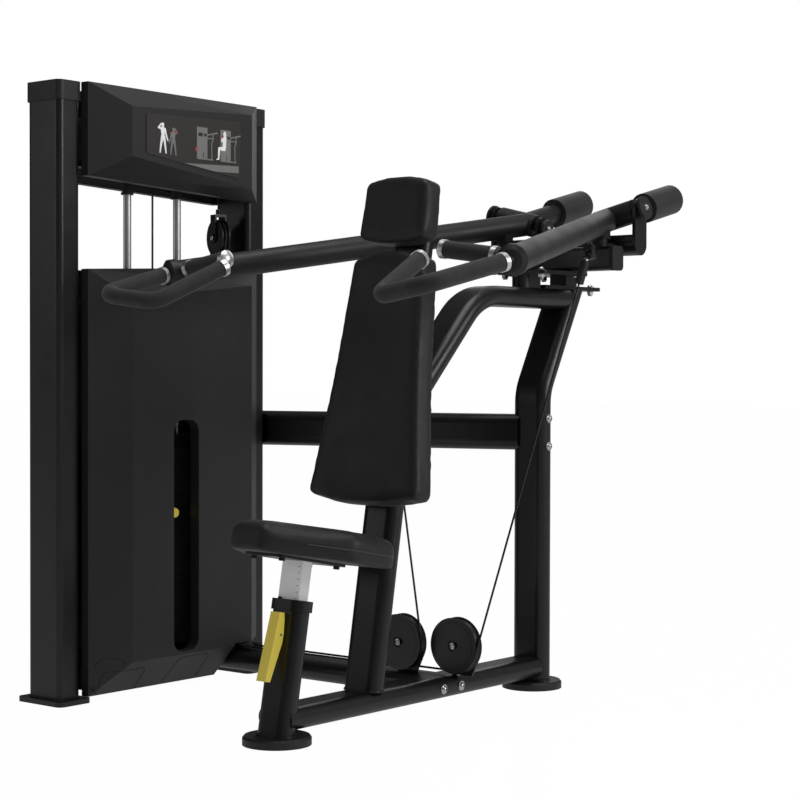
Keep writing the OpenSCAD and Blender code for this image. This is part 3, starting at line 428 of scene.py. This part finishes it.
# A pad starts START_SMALL inside its CAD solid, because the cloth swells.
START_SMALL = 2 * MM
BOARD_CHAMFER = 2 * MM
OUTLINE_POINTS = 240
PINNED_BELOW = 6 * MM
CLOTH_PRESSURE = 3.0
CLOTH_MASS = 0.4
CLOTH_STRETCH = 25.0
CLOTH_SHEAR = 12.0
CLOTH_BEND = 8.0
CLOTH_STEPS = 20
# The sewn line round a pad lies this far below its rounded edge.
SEAM_BELOW_ROUND = 4 * MM
SEAM_WIDE = 1.6 * MM
SEAM_DEEP = 1.3 * MM
GROOVE_SEARCH = 50 * MM


class PadFrame:
    """Local axes of a CAD pad: a across, b along it, c out of its mounting face towards the user."""

    def __init__(self, node, facing):
        mesh = NODES[node].data
        areas = {}
        for face in mesh.polygons:
            if face.normal.dot(Vector(facing)) > 0.7:
                key = tuple(round(v, 3) for v in face.normal)
                areas[key] = areas.get(key, 0.0) + face.area
        self.out = Vector(max(areas, key=areas.get)).normalized()
        self.across = Vector((1, 0, 0))
        self.along = self.out.cross(self.across)
        points = np.array([v.co for v in mesh.vertices], float)
        local = points @ np.array([self.across, self.along, self.out]).T
        self.low = local.min(0)
        self.high = local.max(0)
        self.outline = convex_outline(local[:, :2])
        self.thick = self.high[2] - self.low[2]

    def world(self, a, b, c):
        """Place in the shared frame; c counts from the mounting face."""
        return a * self.across + b * self.along + (c + self.low[2]) * self.out


def convex_outline(points):
    """Convex hull of 2-D points, counter-clockwise."""
    points = sorted({(round(x, 5), round(y, 5)) for x, y in points})

    def half(sequence):
        """One side of the hull, without its last point."""
        side = []
        for p in sequence:
            while len(side) > 1:
                (ax, ay), (bx, by) = side[-2], side[-1]
                if (bx - ax) * (p[1] - ay) - (by - ay) * (p[0] - ax) > 0:
                    break
                side.pop()
            side.append(p)
        return side[:-1]

    return np.array(half(points) + half(points[::-1]))


def resample(outline, count):
    """Evenly spaced points round a closed outline."""
    closed = np.vstack([outline, outline[:1]])
    steps = np.linalg.norm(np.diff(closed, axis=0), axis=1)
    reach = np.concatenate([[0.0], np.cumsum(steps)])
    wanted = np.linspace(0.0, reach[-1], count, endpoint=False)
    return np.column_stack([np.interp(wanted, reach, closed[:, k]) for k in (0, 1)])


def inset(outline, distance):
    """Moves each point of a smooth closed outline inwards."""
    tangent = np.roll(outline, -1, 0) - np.roll(outline, 1, 0)
    tangent /= np.linalg.norm(tangent, axis=1)[:, None]
    inward = np.column_stack([-tangent[:, 1], tangent[:, 0]])
    return outline + inward * distance


def pad_blank(name, pad, outline, layers):
    """Closed form through layers of (inset, height above the mounting face)."""
    bm = bmesh.new()
    rings = []
    for distance, height in layers:
        ring = inset(outline, distance)
        rings.append([bm.verts.new(pad.world(a, b, height)) for a, b in ring])
    skin(bm, rings)
    cap(bm, rings)
    return new_object(name, bm, PAD_HIDE)


def vertex_places(obj):
    """Vertex positions of obj as an array."""
    return np.array([v.co for v in obj.data.vertices], float)


def move_vertices(obj, places):
    """Puts the vertices of obj at these places."""
    obj.data.vertices.foreach_set("co", places.astype(np.float32).ravel())
    obj.data.update()


def simulate(obj, pad, travel_cap):
    """Cloth under pressure with the board side pinned; no vertex moves over travel_cap."""
    before = vertex_places(obj)
    height = before @ np.array(pad.out) - pad.low[2]
    group = obj.vertex_groups.new(name="board")
    group.add([int(i) for i in np.flatnonzero(height < PINNED_BELOW)], 1.0, "REPLACE")
    cloth = obj.modifiers.new("cloth", "CLOTH")
    cloth.settings.use_pressure = True
    cloth.settings.uniform_pressure_force = CLOTH_PRESSURE
    cloth.settings.effector_weights.gravity = 0.0
    cloth.settings.vertex_group_mass = "board"
    cloth.settings.quality = 5
    cloth.settings.mass = CLOTH_MASS
    cloth.settings.tension_stiffness = CLOTH_STRETCH
    cloth.settings.compression_stiffness = CLOTH_STRETCH
    cloth.settings.shear_stiffness = CLOTH_SHEAR
    cloth.settings.bending_stiffness = CLOTH_BEND
    cloth.collision_settings.use_collision = False
    cloth.collision_settings.use_self_collision = False
    for number in range(1, CLOTH_STEPS + 1):
        bpy.context.scene.frame_set(number)
    apply_modifiers(obj)
    bpy.context.scene.frame_set(1)
    travel = vertex_places(obj) - before
    length = np.linalg.norm(travel, axis=1)[:, None]
    move_vertices(obj, before + travel * np.minimum(1.0, travel_cap / np.maximum(length, 1e-9)))


def inflate(obj, pad, voxel, travel_cap):
    """Voxel remesh, cloth simulation, then light smoothing and one subdivision."""
    remesh = obj.modifiers.new("remesh", "REMESH")
    remesh.mode = "VOXEL"
    remesh.voxel_size = voxel
    apply_modifiers(obj)
    simulate(obj, pad, travel_cap)
    soften = obj.modifiers.new("soften", "CORRECTIVE_SMOOTH")
    soften.factor = 0.5
    soften.iterations = 8
    soften.use_only_smooth = True
    finer = obj.modifiers.new("finer", "SUBSURF")
    finer.levels = 1
    finer.render_levels = 1
    apply_modifiers(obj)
    obj.data.materials.clear()
    obj.data.materials.append(PAD_HIDE)
    obj.data.shade_smooth()


def groove(obj, pad, outline, at_inset, at_height, width, depth):
    """Presses a sewn line into the pad along the outline, inset and lifted as given."""
    line = np.array([pad.world(a, b, at_height) for a, b in inset(outline, at_inset)])
    places = vertex_places(obj)
    normals = np.array([v.normal for v in obj.data.vertices], float)
    near = np.abs(places @ np.array(pad.out) - pad.low[2] - at_height) < GROOVE_SEARCH
    for i in np.flatnonzero(near):
        distance = np.linalg.norm(line - places[i], axis=1).min()
        if distance < 2.2 * width:
            places[i] -= normals[i] * depth * math.exp(-((distance / width) ** 2))
    move_vertices(obj, places)


def surface_tree(obj):
    """Search tree over the faces of obj."""
    mesh = obj.data
    return BVHTree.FromPolygons([v.co for v in mesh.vertices], [p.vertices for p in mesh.polygons])


def hug(points, obj, lift):
    """Drops each point onto the nearest place of obj's surface and lifts it off by lift."""
    tree = surface_tree(obj)
    found = []
    for point in points:
        place, normal, _, _ = tree.find_nearest(Vector(point))
        found.append(place + normal * lift)
    return found


def round_layers(thick, radius):
    """Layers of a pad with a flat board side, upright sides and a rounded front edge."""
    layers = [(START_SMALL + BOARD_CHAMFER, 0.0), (START_SMALL, BOARD_CHAMFER)]
    rises = [thick * k / 5 for k in range(1, 5)]
    layers += [(START_SMALL, rise) for rise in rises if rise < thick - radius - START_SMALL]
    for step in range(6):
        turn = math.pi / 2 * step / 5
        drop = radius * (1 - math.sin(turn))
        layers.append((START_SMALL + radius * (1 - math.cos(turn)), thick - START_SMALL - drop))
    return layers


def make_pad(name, node, facing, body, radius, voxel, travel_cap, waist=0.0):
    """One upholstered pad in place of a CAD solid; waist draws its sides in at mid length."""
    pad = PadFrame(node, facing)
    outline = resample(pad.outline, OUTLINE_POINTS)
    if waist:
        share = (outline[:, 1] - pad.low[1]) / (pad.high[1] - pad.low[1])
        outline[:, 0] -= np.sign(outline[:, 0]) * waist * np.sin(np.pi * np.clip(share, 0, 1)) ** 2
    obj = pad_blank(name, pad, outline, round_layers(pad.thick, radius))
    inflate(obj, pad, voxel, travel_cap)
    seam_height = pad.thick - radius - SEAM_BELOW_ROUND
    groove(obj, pad, outline, 0.0, seam_height, SEAM_WIDE, SEAM_DEEP)
    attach(obj, body)
    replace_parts(obj, node)
    return obj, pad, outline


FORWARD = (0, -1, 0)
UPWARD = (0, 0, 1)
BACK_ROUND = 9 * MM
SEAT_ROUND = 24 * MM
BACK_SWELL = 2.6 * MM
SEAT_SWELL = 5 * MM
BACK_WAIST = 6 * MM

_, back_frame, _ = make_pad(
    "back_cushion", "back_pad", FORWARD, "frame", BACK_ROUND, 5.5 * MM, BACK_SWELL, BACK_WAIST
)
make_pad("head_cushion", "head_pad", FORWARD, "frame", BACK_ROUND, 4.5 * MM, BACK_SWELL)
seat_pad, seat_frame, seat_outline = make_pad(
    "seat_cushion", "seat_pad", UPWARD, "seat", SEAT_ROUND, 5 * MM, SEAT_SWELL
)

# --- Placard -------------------------------------------------------------------------

# Print shapes are in millimetres from the placard's lower front corner: u towards the tower's
# rear, v up.


def disc_outline(centre, across, up):
    """Oval of the given half sizes."""
    return [(centre[0] + across * math.cos(t), centre[1] + up * math.sin(t)) for t in circle_turns(24)]


def limb(p, q, start, end, sides=8):
    """Outline of a limb from p to q with round ends of the given half widths."""
    turn = math.atan2(q[1] - p[1], q[0] - p[0])
    points = []
    for centre, half, first in ((p, start, math.pi / 2), (q, end, -math.pi / 2)):
        for k in range(sides + 1):
            a = turn + first + math.pi * k / sides
            points.append((centre[0] + half * math.cos(a), centre[1] + half * math.sin(a)))
    return points


def chain(points, halves):
    """Limbs that join one after another."""
    return [limb(p, q, halves[k], halves[k + 1]) for k, (p, q) in enumerate(zip(points, points[1:]))]


def block(left, low, right, high):
    """Upright rectangle."""
    return [(left, low), (right, low), (right, high), (left, high)]


def standing_figure(x, foot, tall, side):
    """A standing figure with one hand behind the head and the other arm hanging out.

    x is the middle, foot the height of the soles, side 1 or -1 for the raised arm.
    """
    s = tall / 75.0

    def at(across, up):
        """A point of the figure, drawn 75 tall."""
        return (x + side * across * s, foot + up * s)

    shapes = [disc_outline(at(0, 69), 4.6 * s, 5.4 * s)]
    shapes += chain([at(0, 58), at(0.5, 46), at(1, 38)], [7.0 * s, 5.2 * s, 5.8 * s])
    shapes += chain([at(-2, 40), at(-6, 20), at(-9, 1)], [4.2 * s, 3.0 * s, 2.0 * s])
    shapes += chain([at(4, 40), at(8, 20), at(11, 1)], [4.2 * s, 3.0 * s, 2.0 * s])
    shapes += chain([at(-6, 60), at(-14, 61), at(-6, 71)], [3.0 * s, 2.4 * s, 1.8 * s])
    shapes += chain([at(7, 59), at(12, 44), at(17, 32)], [3.0 * s, 2.2 * s, 1.8 * s])
    return shapes


def machine_shapes(x, base):
    """Side view of the machine: tower, arm, post and feet; x is the tower's left edge."""
    tower_wide, tower_tall = 37.0, 80.0
    shapes = [block(x, base, x + tower_wide, base + tower_tall)]
    shapes += chain([(x + 36, base + 62), (x + 72, base + 70)], [1.4, 2.0])
    shapes += [limb((x + 36, base + 54), (x + 57, base + 54), 1.3, 1.3)]
    post = [(x + 57, base + 64), (x + 57, base + 50), (x + 52, base + 42), (x + 53, base + 3)]
    shapes += chain(post, [1.5] * 4)
    shapes += [limb((x + 2, base + 1), (x + 56, base + 1), 1.6, 1.6)]
    return shapes


def seated_figure(x, base):
    """A seated figure seen from the side, hands at the shoulders; x is the hip."""
    shapes = [disc_outline((x + 2, base + 68), 5.0, 7.5)]
    shapes += chain([(x + 2, base + 58), (x, base + 32)], [6.0, 5.5])
    shapes += chain([(x, base + 31), (x - 18, base + 31), (x - 20, base + 6)], [5.0, 3.6, 2.4])
    shapes += [limb((x - 20, base + 4), (x - 26, base + 3), 2.0, 1.6)]
    shapes += chain([(x + 1, base + 56), (x - 8, base + 50), (x - 7, base + 62)], [3.0, 2.4, 2.0])
    return shapes


LAYER_LIFT = 0.2 * MM
SHAPE_LIFT = 0.01 * MM
INK_SUNK = 0.1 * MM


def make_placard_print():
    """Generic pictograms on the placard: three figures, the machine twice and a pale band."""
    low, high = (Vector(v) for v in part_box("placard"))

    def lay(name, shapes, material, layer):
        """One print layer; each shape has a lift of its own, so no two faces coincide."""
        bm = bmesh.new()
        for number, outline in enumerate(shapes):
            rings = []
            for lift in (-INK_SUNK, layer * LAYER_LIFT + number * SHAPE_LIFT):
                places = [(high.x + lift, low.y + u * MM, low.z + v * MM) for u, v in outline]
                rings.append([bm.verts.new(place) for place in places])
            cap(bm, rings)
            skin(bm, rings)
        obj = new_object(name, bm, material)
        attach(obj, "frame")

    # The white ink glows at 0.25: painted light.
    white = printed("print_white", (0.85, 0.85, 0.85), glow=0.25)
    grey = printed("print_grey", (0.26, 0.265, 0.25))
    red = printed("print_red", (0.55, 0.05, 0.04))
    ground = printed("print_ground", (0.040, 0.036, 0.035))
    base = 39.0
    first, second = 172.0, 256.0
    lay("placard_band", [[(128, 24), (322, 31.5), (322, 14), (235, 11.5)]], grey, 1)
    lay("placard_machines", machine_shapes(first, base) + machine_shapes(second, base), grey, 1)
    windows = [block(x + 5, base + 57, x + 20, base + 66) for x in (first, second)]
    windows += [block(x + 25, base + 58, x + 34, base + 65) for x in (first, second)]
    windows += [block(x + 21.5, base + 3, x + 23.5, base + 17) for x in (first, second)]
    lay("placard_windows", windows, ground, 2)
    lay("placard_grey_figure", standing_figure(91, 41, 68, -1), grey, 1)
    lay("placard_white_figure", standing_figure(54, 43, 75, 1), white, 2)
    lay("placard_user", seated_figure(269, base + 1), white, 3)
    marks = [disc_outline(p, 2.4, 3.2) for p in ((80, 94), (100, 97), (262, 101))]
    marks += [block(165, 57, 171, 67)]
    lay("placard_marks", marks, red, 4)


make_placard_print()

# --- Covers --------------------------------------------------------------------------


def rounded(points, radius, steps=6):
    """Polyline with each inner corner replaced by a curve."""
    points = [Vector(p) for p in points]
    path = [points[0]]
    for before, corner, after in zip(points, points[1:], points[2:]):
        start = corner + (before - corner).normalized() * radius
        end = corner + (after - corner).normalized() * radius
        for k in range(steps + 1):
            t = k / steps
            path.append(start * (1 - t) ** 2 + corner * 2 * t * (1 - t) + end * t**2)
    path.append(points[-1])
    return path


def refine(path, step):
    """Polyline with no piece longer than step."""
    found = [path[0]]
    for p, q in zip(path, path[1:]):
        pieces = max(1, math.ceil((q - p).length / step))
        found += [p + (q - p) * k / pieces for k in range(1, pieces + 1)]
    return found


# Corners of the moulded outlines and place of the screw, as (y, z) in millimetres.
COVER_OUTLINES = {
    "cover_line_front": [(-868, 20), (-858, 74), (-735, 74), (-739, 20)],
    "cover_line_middle": [(-648, 20), (-628, 86), (-522, 86), (-530, 20)],
    "cover_line_upper": [(-872, 84), (-866, 106), (-815, 106), (-812, 90)],
}
COVER_SCREW = (-874, 32)
OUTLINE_ROUND = 16
OUTLINE_STEP = 4
OUTLINE_BEAD = 0.9 * MM


def make_cover_lines():
    """Moulded outlines low on the lower cover and the screw in its front corner."""
    tree = surface_tree(NODES["lower_front_cover"])
    line = moulded("cover_line", (0.005, 0.005, 0.005), 0.6)
    towards_tower = Vector((-1, 0, 0))

    def cast(y, z):
        """Place and normal of the cover's face at this y and z."""
        return tree.ray_cast(Vector((0, y * MM, z * MM)), towards_tower)[:2]

    for name, corners in COVER_OUTLINES.items():
        bent = rounded([Vector((y, z, 0)) for y, z in corners], OUTLINE_ROUND)
        bm = bmesh.new()
        path = [cast(p.x, p.y)[0] for p in refine(bent, OUTLINE_STEP)]
        tube_path(bm, path, OUTLINE_BEAD, sides=8)
        obj = new_object(name, bm, line)
        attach(obj, "frame")
    hit, normal = cast(*COVER_SCREW)
    button_screw("cover_screw", hit, normal, CAP_GREY, "frame")


# Washer and button head as (radius, height) from the washer's edge inwards, in millimetres.
SCREW_PROFILE = [(7.5, -2), (7.5, 0.8), (6.6, 1.4), (5.2, 1.4), (5.0, 2.2), (4.2, 3.4), (2.4, 3.8)]
SOCKET_RADIUS = 2.1 * MM
SOCKET_FLOOR = 1.6 * MM


def button_screw(name, place, normal, material, body):
    """Button-head screw with a washer and a hexagon socket."""
    bm = bmesh.new()
    turn = normal.to_track_quat("Z", "Y").to_matrix()

    def corner(radius, a, height):
        """A vertex on a circle round the screw's axis."""
        return bm.verts.new(place + turn @ Vector((radius * math.cos(a), radius * math.sin(a), height)))

    turns = circle_turns(24)
    rings = [[corner(radius * MM, a, height * MM) for a in turns] for radius, height in SCREW_PROFILE]
    flat = SOCKET_RADIUS * math.cos(math.pi / 6)
    reaches = [flat / math.cos(a % (math.pi / 3) - math.pi / 6) for a in turns]
    rings.append([corner(reach, a, SOCKET_FLOOR) for reach, a in zip(reaches, turns)])
    skin(bm, rings)
    cap(bm, rings)
    obj = new_object(name, bm, material)
    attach(obj, body)


# The floating pulley's axle is turned this much from +X.
FLOAT_TURN = math.radians(71)
FLOAT_AXLE_HALF = 19.5 * MM


def make_block_screw():
    """Bright screw in the front end of the floating pulley's axle."""
    low, high = (Vector(v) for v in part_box("floating_pulley"))
    out = -Vector((math.cos(FLOAT_TURN), math.sin(FLOAT_TURN), 0))
    button_screw("block_axle_screw", (low + high) / 2 + out * FLOAT_AXLE_HALF, out, ZINC, "block")


make_cover_lines()
make_block_screw()

# --- Weld beads, seat marks, seams and collars ---------------------------------------


TUBE_LONG = 100 * MM
TUBE_SHORT = 50 * MM
PEDESTAL_LONG = 90 * MM
# Middle of the pedestal's open top, where the seat post goes in.
PEDESTAL_TOP = Vector((0, -0.9115, 0.277))
# Middle of the back post at floor level, and its lean from upright.
BACK_POST_FOOT_Y = -0.679
BACK_POST_LEAN = math.radians(10)
# Half sizes and corner radius of the bead round an upright, and its height on the foot plate.
UPRIGHT_BEAD_HALF = (58 * MM, 34 * MM)
UPRIGHT_BEAD_ROUND = 14 * MM
FOOT_PLATE = 12 * MM
BEAD_RADIUS = 2.6 * MM
BEAD_RIPPLE = 0.35 * MM
RIPPLE_TURN = 2.1


def oval_loop(centre, long_side, short_side, length, thick):
    """Flat-oval loop of the given overall length and thickness."""
    half = (length - thick) / 2
    radius = thick / 2
    points = []
    for sign, start in ((1, -math.pi / 2), (-1, math.pi / 2)):
        for k in range(13):
            a = start + math.pi * k / 12
            along = sign * half + radius * math.cos(a)
            points.append(centre + long_side * along + short_side * (radius * math.sin(a)))
    return refine(points + [points[0]], 3 * MM)[:-1]


def bead(name, loop):
    """Weld bead: a round cord along a closed joint."""
    bm = bmesh.new()
    tube_path(bm, loop, BEAD_RADIUS, sides=8, closed=True)
    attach(new_object(name, bm, FRAME_BLACK, 60), "frame")


def rippled(loop):
    """The loop with the small waves of a hand weld."""
    waves = [Vector((0, 0, BEAD_RIPPLE * math.sin(RIPPLE_TURN * k))) for k in range(len(loop))]
    return [place + wave for place, wave in zip(loop, waves)]


def upright_bead(name, height):
    """Bead round one rectangular upright, where it stands on its foot plate."""
    low, high = (Vector(v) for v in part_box(name))
    middle = (low + high) / 2
    half_x, half_y = UPRIGHT_BEAD_HALF
    around = [(-1, -1), (1, -1), (1, 1), (-1, 1)]
    ring = [Vector((middle.x + x * half_x, middle.y + y * half_y, height)) for x, y in around]
    start = (ring[0] + ring[1]) / 2
    bent = rounded([start, *ring[1:], ring[0], start], UPRIGHT_BEAD_ROUND)
    bead("weld_" + name, refine(bent, 4 * MM)[:-1])


def make_welds():
    """Weld beads at the feet of the posts and the uprights."""
    right, back = Vector((1, 0, 0)), Vector((0, 1, 0))
    disc_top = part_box("floor_discs")[1][2]
    rear = oval_loop(Vector((0, 0, disc_top)), right, back, TUBE_LONG, TUBE_SHORT)
    bead("weld_rear_post", rippled(rear))
    seat_lean = math.atan2(seat_frame.out.y, seat_frame.out.z)
    foot = PEDESTAL_TOP - seat_frame.out * ((PEDESTAL_TOP.z - disc_top) / seat_frame.out.z)
    pedestal = oval_loop(foot, right, back / math.cos(seat_lean), PEDESTAL_LONG, TUBE_SHORT)
    bead("weld_pedestal", rippled(pedestal))
    base_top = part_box("base_tube")[1][2]
    lean = math.atan2(-back_frame.along.y, back_frame.along.z)
    foot = Vector((0, BACK_POST_FOOT_Y + base_top * math.tan(BACK_POST_LEAN), base_top))
    back_post = oval_loop(foot, right, back / math.cos(lean), TUBE_LONG, TUBE_SHORT)
    bead("weld_back_post", rippled(back_post))
    plate_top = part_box("front_upright")[0][2] + FOOT_PLATE
    for name in ("front_upright", "rear_upright"):
        upright_bead(name, plate_top)


# The seat post's top is this far above PEDESTAL_TOP; its marks run down from there.
POST_RISE = 116 * MM
MARK_COUNT = 12
MARK_PITCH = 14 * MM
FIRST_MARK = 12 * MM
MARK_X = 21 * MM
MARK_LONG = 6 * MM
MARK_SHORT = 4 * MM
MARK_HALF_HIGH = 0.6 * MM
MARK_SUNK = 0.2 * MM
MARK_PROUD = 0.35 * MM
POST_HALF = 15 * MM
# The seat's sewn cord runs round its rear, at these shares of its length and thickness.
CORD_START = 0.24
CORD_HEIGHT = 0.40
CORD_RADIUS = 0.9 * MM
CORD_LIFT = 0.2 * MM


def make_post_marks():
    """Height marks on the front of the seat post, long and short in turn."""
    out, along = seat_frame.out, seat_frame.along
    top = PEDESTAL_TOP + out * POST_RISE
    bm = bmesh.new()
    for k in range(MARK_COUNT):
        middle = top - out * (MARK_PITCH * k + FIRST_MARK) - along * POST_HALF
        wide = MARK_LONG if k % 2 == 0 else MARK_SHORT
        rings = []
        for proud in (-MARK_SUNK, MARK_PROUD):
            ring = []
            for side, rise in ((-1, -1), (1, -1), (1, 1), (-1, 1)):
                across = Vector((MARK_X + side * wide / 2, 0, 0))
                spot = middle + across + out * (rise * MARK_HALF_HIGH) - along * proud
                ring.append(bm.verts.new(spot))
            rings.append(ring)
        cap(bm, rings)
        skin(bm, rings)
    obj = new_object("seat_post_marks", bm, printed("mark_ink", (0.03, 0.03, 0.03)))
    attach(obj, "seat")


def make_seat_cord():
    """The sewn cord round the seat pad's rear and sides, coloured pale grey as painted highlight."""
    start = seat_frame.low[1] + CORD_START * (seat_frame.high[1] - seat_frame.low[1])
    ring = np.vstack([seat_outline, seat_outline])
    first = next(i for i in range(len(seat_outline)) if ring[i][1] < start <= ring[i + 1][1])
    run = []
    for a, b in ring[first + 1 :]:
        if b < start:
            break
        run.append(seat_frame.world(a, b, CORD_HEIGHT * seat_frame.thick))
    bm = bmesh.new()
    tube_path(bm, hug(run, seat_pad, CORD_LIFT), CORD_RADIUS, sides=8)
    # The cord's pale grey, six times the pad's colour, is painted highlight.
    obj = new_object("seat_seam_cord", bm, leatherette("seam_cord_painted_highlight", (0.075, 0.075, 0.077)))
    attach(obj, "seat")


# A cable's lug is this far above its bar; the ferrule's rings count down from the lug.
LUG_RISE = 72 * MM
FERRULE_RINGS = (26 * MM, 28 * MM, 33 * MM, 37.9 * MM)
FERRULE_RADIUS = 6.6 * MM


def make_collars():
    """Plated ferrule above the rubber sleeve of each arm cable."""
    for side in ("left", "right"):
        low, high, _ = rod_ends(islands(side + "_cable")[0])
        along = (high - low).normalized()
        lug = high + along * LUG_RISE
        bm = bmesh.new()
        tube_path(bm, [lug - along * drop for drop in FERRULE_RINGS], FERRULE_RADIUS, sides=20)
        obj = new_object(side + "_cable_ferrule", bm, ZINC)
        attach(obj, side + "_end")


make_welds()
make_post_marks()
make_seat_cord()

# --- Cables --------------------------------------------------------------------------


def islands(node):
    """The separate solids of a CAD node, each as an array of its points."""
    bm = bmesh.new()
    bm.from_mesh(NODES[node].data)
    bmesh.ops.remove_doubles(bm, verts=bm.verts, dist=1e-6)
    seen = set()
    found = []
    for start in bm.verts:
        if start in seen:
            continue
        stack = [start]
        seen.add(start)
        points = []
        while stack:
            vert = stack.pop()
            points.append(tuple(vert.co))
            for edge in vert.link_edges:
                other = edge.other_vert(vert)
                if other not in seen:
                    seen.add(other)
                    stack.append(other)
        found.append(np.array(points))
    bm.free()
    return sorted(found, key=lambda p: tuple(np.round(p.mean(0), 4)))


def rod_ends(points):
    """Lower end, upper end and radius of a straight round bar."""
    centre = points.mean(0)
    axis = np.linalg.svd(points - centre, full_matrices=False)[2][0]
    axis = axis if axis[2] > 0 else -axis
    reach = (points - centre) @ axis
    spread = np.linalg.norm(points - centre - np.outer(reach, axis), axis=1)
    return Vector(centre + axis * reach.min()), Vector(centre + axis * reach.max()), float(spread.max())


def stretching_cable(name, node, pick=0):
    """Straight tube along a cable between the frame and a moving body, whose length changes as the body
    moves on the real machine.
    """
    low, high, radius = rod_ends(islands(node)[pick])
    bm = bmesh.new()
    tube_path(bm, [low + (high - low) * k / 40 for k in range(41)], radius, sides=14)
    obj = new_object(name, bm, CABLE)
    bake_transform(obj)
    return obj


def make_cables():
    """Every cable that changes length, in place of its CAD node."""
    for side in ("left", "right"):
        obj = stretching_cable(side + "_arm_cable", side + "_cable")
        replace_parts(obj, side + "_cable")
    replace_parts(stretching_cable("stack_lift_cable", "stack_cable"), "stack_cable")
    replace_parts(stretching_cable("block_hang_cable", "block_cable"), "block_cable")
    for pick in (0, 1):
        obj = stretching_cable(f"loop_cable_{pick + 1}", "loop_cables", pick)
        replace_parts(obj, "loop_cables")


make_cables()
make_collars()

# --- Stage, light and camera ---------------------------------------------------------


# The surroundings are brightest towards BRIGHT_SIDE and fall off to AMBIENT opposite it.
BRIGHT_SIDE = (0.62, 0.40, 0.68)
AMBIENT = 0.02
AMBIENT_PEAK = 0.24
# Share of the floor's own light that reaches the machine, and that reaches the camera.
FLOOR_GLOW = 0.38
FLOOR_SEEN = 0.91
FLOOR_STRENGTH = 1.08
FLOOR_SIZE = 30
# Soft boxes as place, side length and watts.
SOFT_BOXES = {
    "side": ((4.6, 0.9, 2.6), 2.2, 76),
    "left": ((-3.4, -4.4, 2.0), 1.8, 10),
    "rim": ((-1.6, 3.4, 2.8), 2.6, 24),
    "top": ((0.3, -0.6, 4.4), 2.4, 56),
}
SOFT_BOX_TARGET = Vector((-0.2, -0.4, 0.7))
LENS_MM = 85.87
SENSOR_MM = 36.0
CAMERA_PLACE = (2.795, -3.983, 0.8215)
CAMERA_AZIMUTH = math.radians(39.04)
CAMERA_PITCH_DOWN = math.radians(1.073)
CAMERA_ROLL = math.radians(0.134)


def floor_sheet():
    """White paper sweep: bright to the camera with a faint reflection, less to other rays."""
    paper = Paint("studio_floor", (0.30, 0.30, 0.30), 0.20, Specular_IOR_Level=0.5)
    paper.mottle(0.7, 0.02)
    glow = paper.node("ShaderNodeEmission")
    glow.inputs["Color"].default_value = (1, 1, 1, 1)
    path = paper.node("ShaderNodeLightPath")
    glow.inputs["Strength"].default_value = FLOOR_STRENGTH
    share = paper.spread(path.outputs["Is Camera Ray"], FLOOR_GLOW, FLOOR_SEEN, 0.0, 1.0)
    mixer = paper.node("ShaderNodeMixShader")
    paper.join(share, mixer.inputs[0])
    paper.join(paper.bsdf.outputs[0], mixer.inputs[1])
    paper.join(glow.outputs[0], mixer.inputs[2])
    target = paper.tree.nodes["Material Output"]
    paper.join(mixer.outputs[0], target.inputs["Surface"])
    return paper.mat


def make_floor():
    """Pale floor under the whole scene."""
    bm = bmesh.new()
    bmesh.ops.create_grid(bm, x_segments=2, y_segments=2, size=FLOOR_SIZE)
    floor = new_object("studio_floor", bm, floor_sheet())


def make_surroundings():
    """White to the camera; dim and brighter towards one side for everything else."""
    world = bpy.data.worlds.new("studio")
    bpy.context.scene.world = world
    world.use_nodes = True
    tree = world.node_tree
    back = tree.nodes["Background"]
    path = tree.nodes.new("ShaderNodeLightPath")
    place = tree.nodes.new("ShaderNodeTexCoord")
    facing = tree.nodes.new("ShaderNodeVectorMath")
    facing.operation = "DOT_PRODUCT"
    facing.inputs[1].default_value = Vector(BRIGHT_SIDE).normalized()
    tree.links.new(place.outputs["Generated"], facing.inputs[0])
    fall = tree.nodes.new("ShaderNodeMapRange")
    levels = {"From Min": -0.4, "From Max": 1.0, "To Min": AMBIENT, "To Max": AMBIENT_PEAK}
    for key, value in levels.items():
        fall.inputs[key].default_value = value
    tree.links.new(facing.outputs["Value"], fall.inputs["Value"])
    mixer = tree.nodes.new("ShaderNodeMix")
    mixer.inputs[3].default_value = 1.0
    tree.links.new(fall.outputs["Result"], mixer.inputs[2])
    tree.links.new(path.outputs["Is Camera Ray"], mixer.inputs[0])
    tree.links.new(mixer.outputs[0], back.inputs["Strength"])
    back.inputs["Color"].default_value = (1, 1, 1, 1)


def soft_box(name, place, size, watts):
    """Square area light that faces the machine's middle."""
    lamp = bpy.data.lights.new(name, "AREA")
    lamp.shape = "SQUARE"
    lamp.size = size
    lamp.energy = watts
    obj = bpy.data.objects.new(name, lamp)
    bpy.context.scene.collection.objects.link(obj)
    obj.location = place
    obj.rotation_euler = (SOFT_BOX_TARGET - Vector(place)).to_track_quat("-Z", "Y").to_euler()


def make_camera():
    """Three-quarter front view from the user's left, nearly level, with a long lens."""
    data = bpy.data.cameras.new("camera")
    data.lens = LENS_MM
    data.sensor_width = SENSOR_MM
    obj = bpy.data.objects.new("camera", data)
    bpy.context.scene.collection.objects.link(obj)
    turn = Euler((math.pi / 2 - CAMERA_PITCH_DOWN, 0.0, CAMERA_AZIMUTH)).to_matrix().to_4x4()
    roll = Matrix.Rotation(CAMERA_ROLL, 4, "Z")
    obj.matrix_world = Matrix.Translation(CAMERA_PLACE) @ turn @ roll
    bpy.context.scene.camera = obj


make_floor()
make_surroundings()
for box_name, (box_place, box_size, box_watts) in SOFT_BOXES.items():
    soft_box(box_name, box_place, box_size, box_watts)
make_camera()
bpy.context.scene.view_settings.view_transform = "Standard"
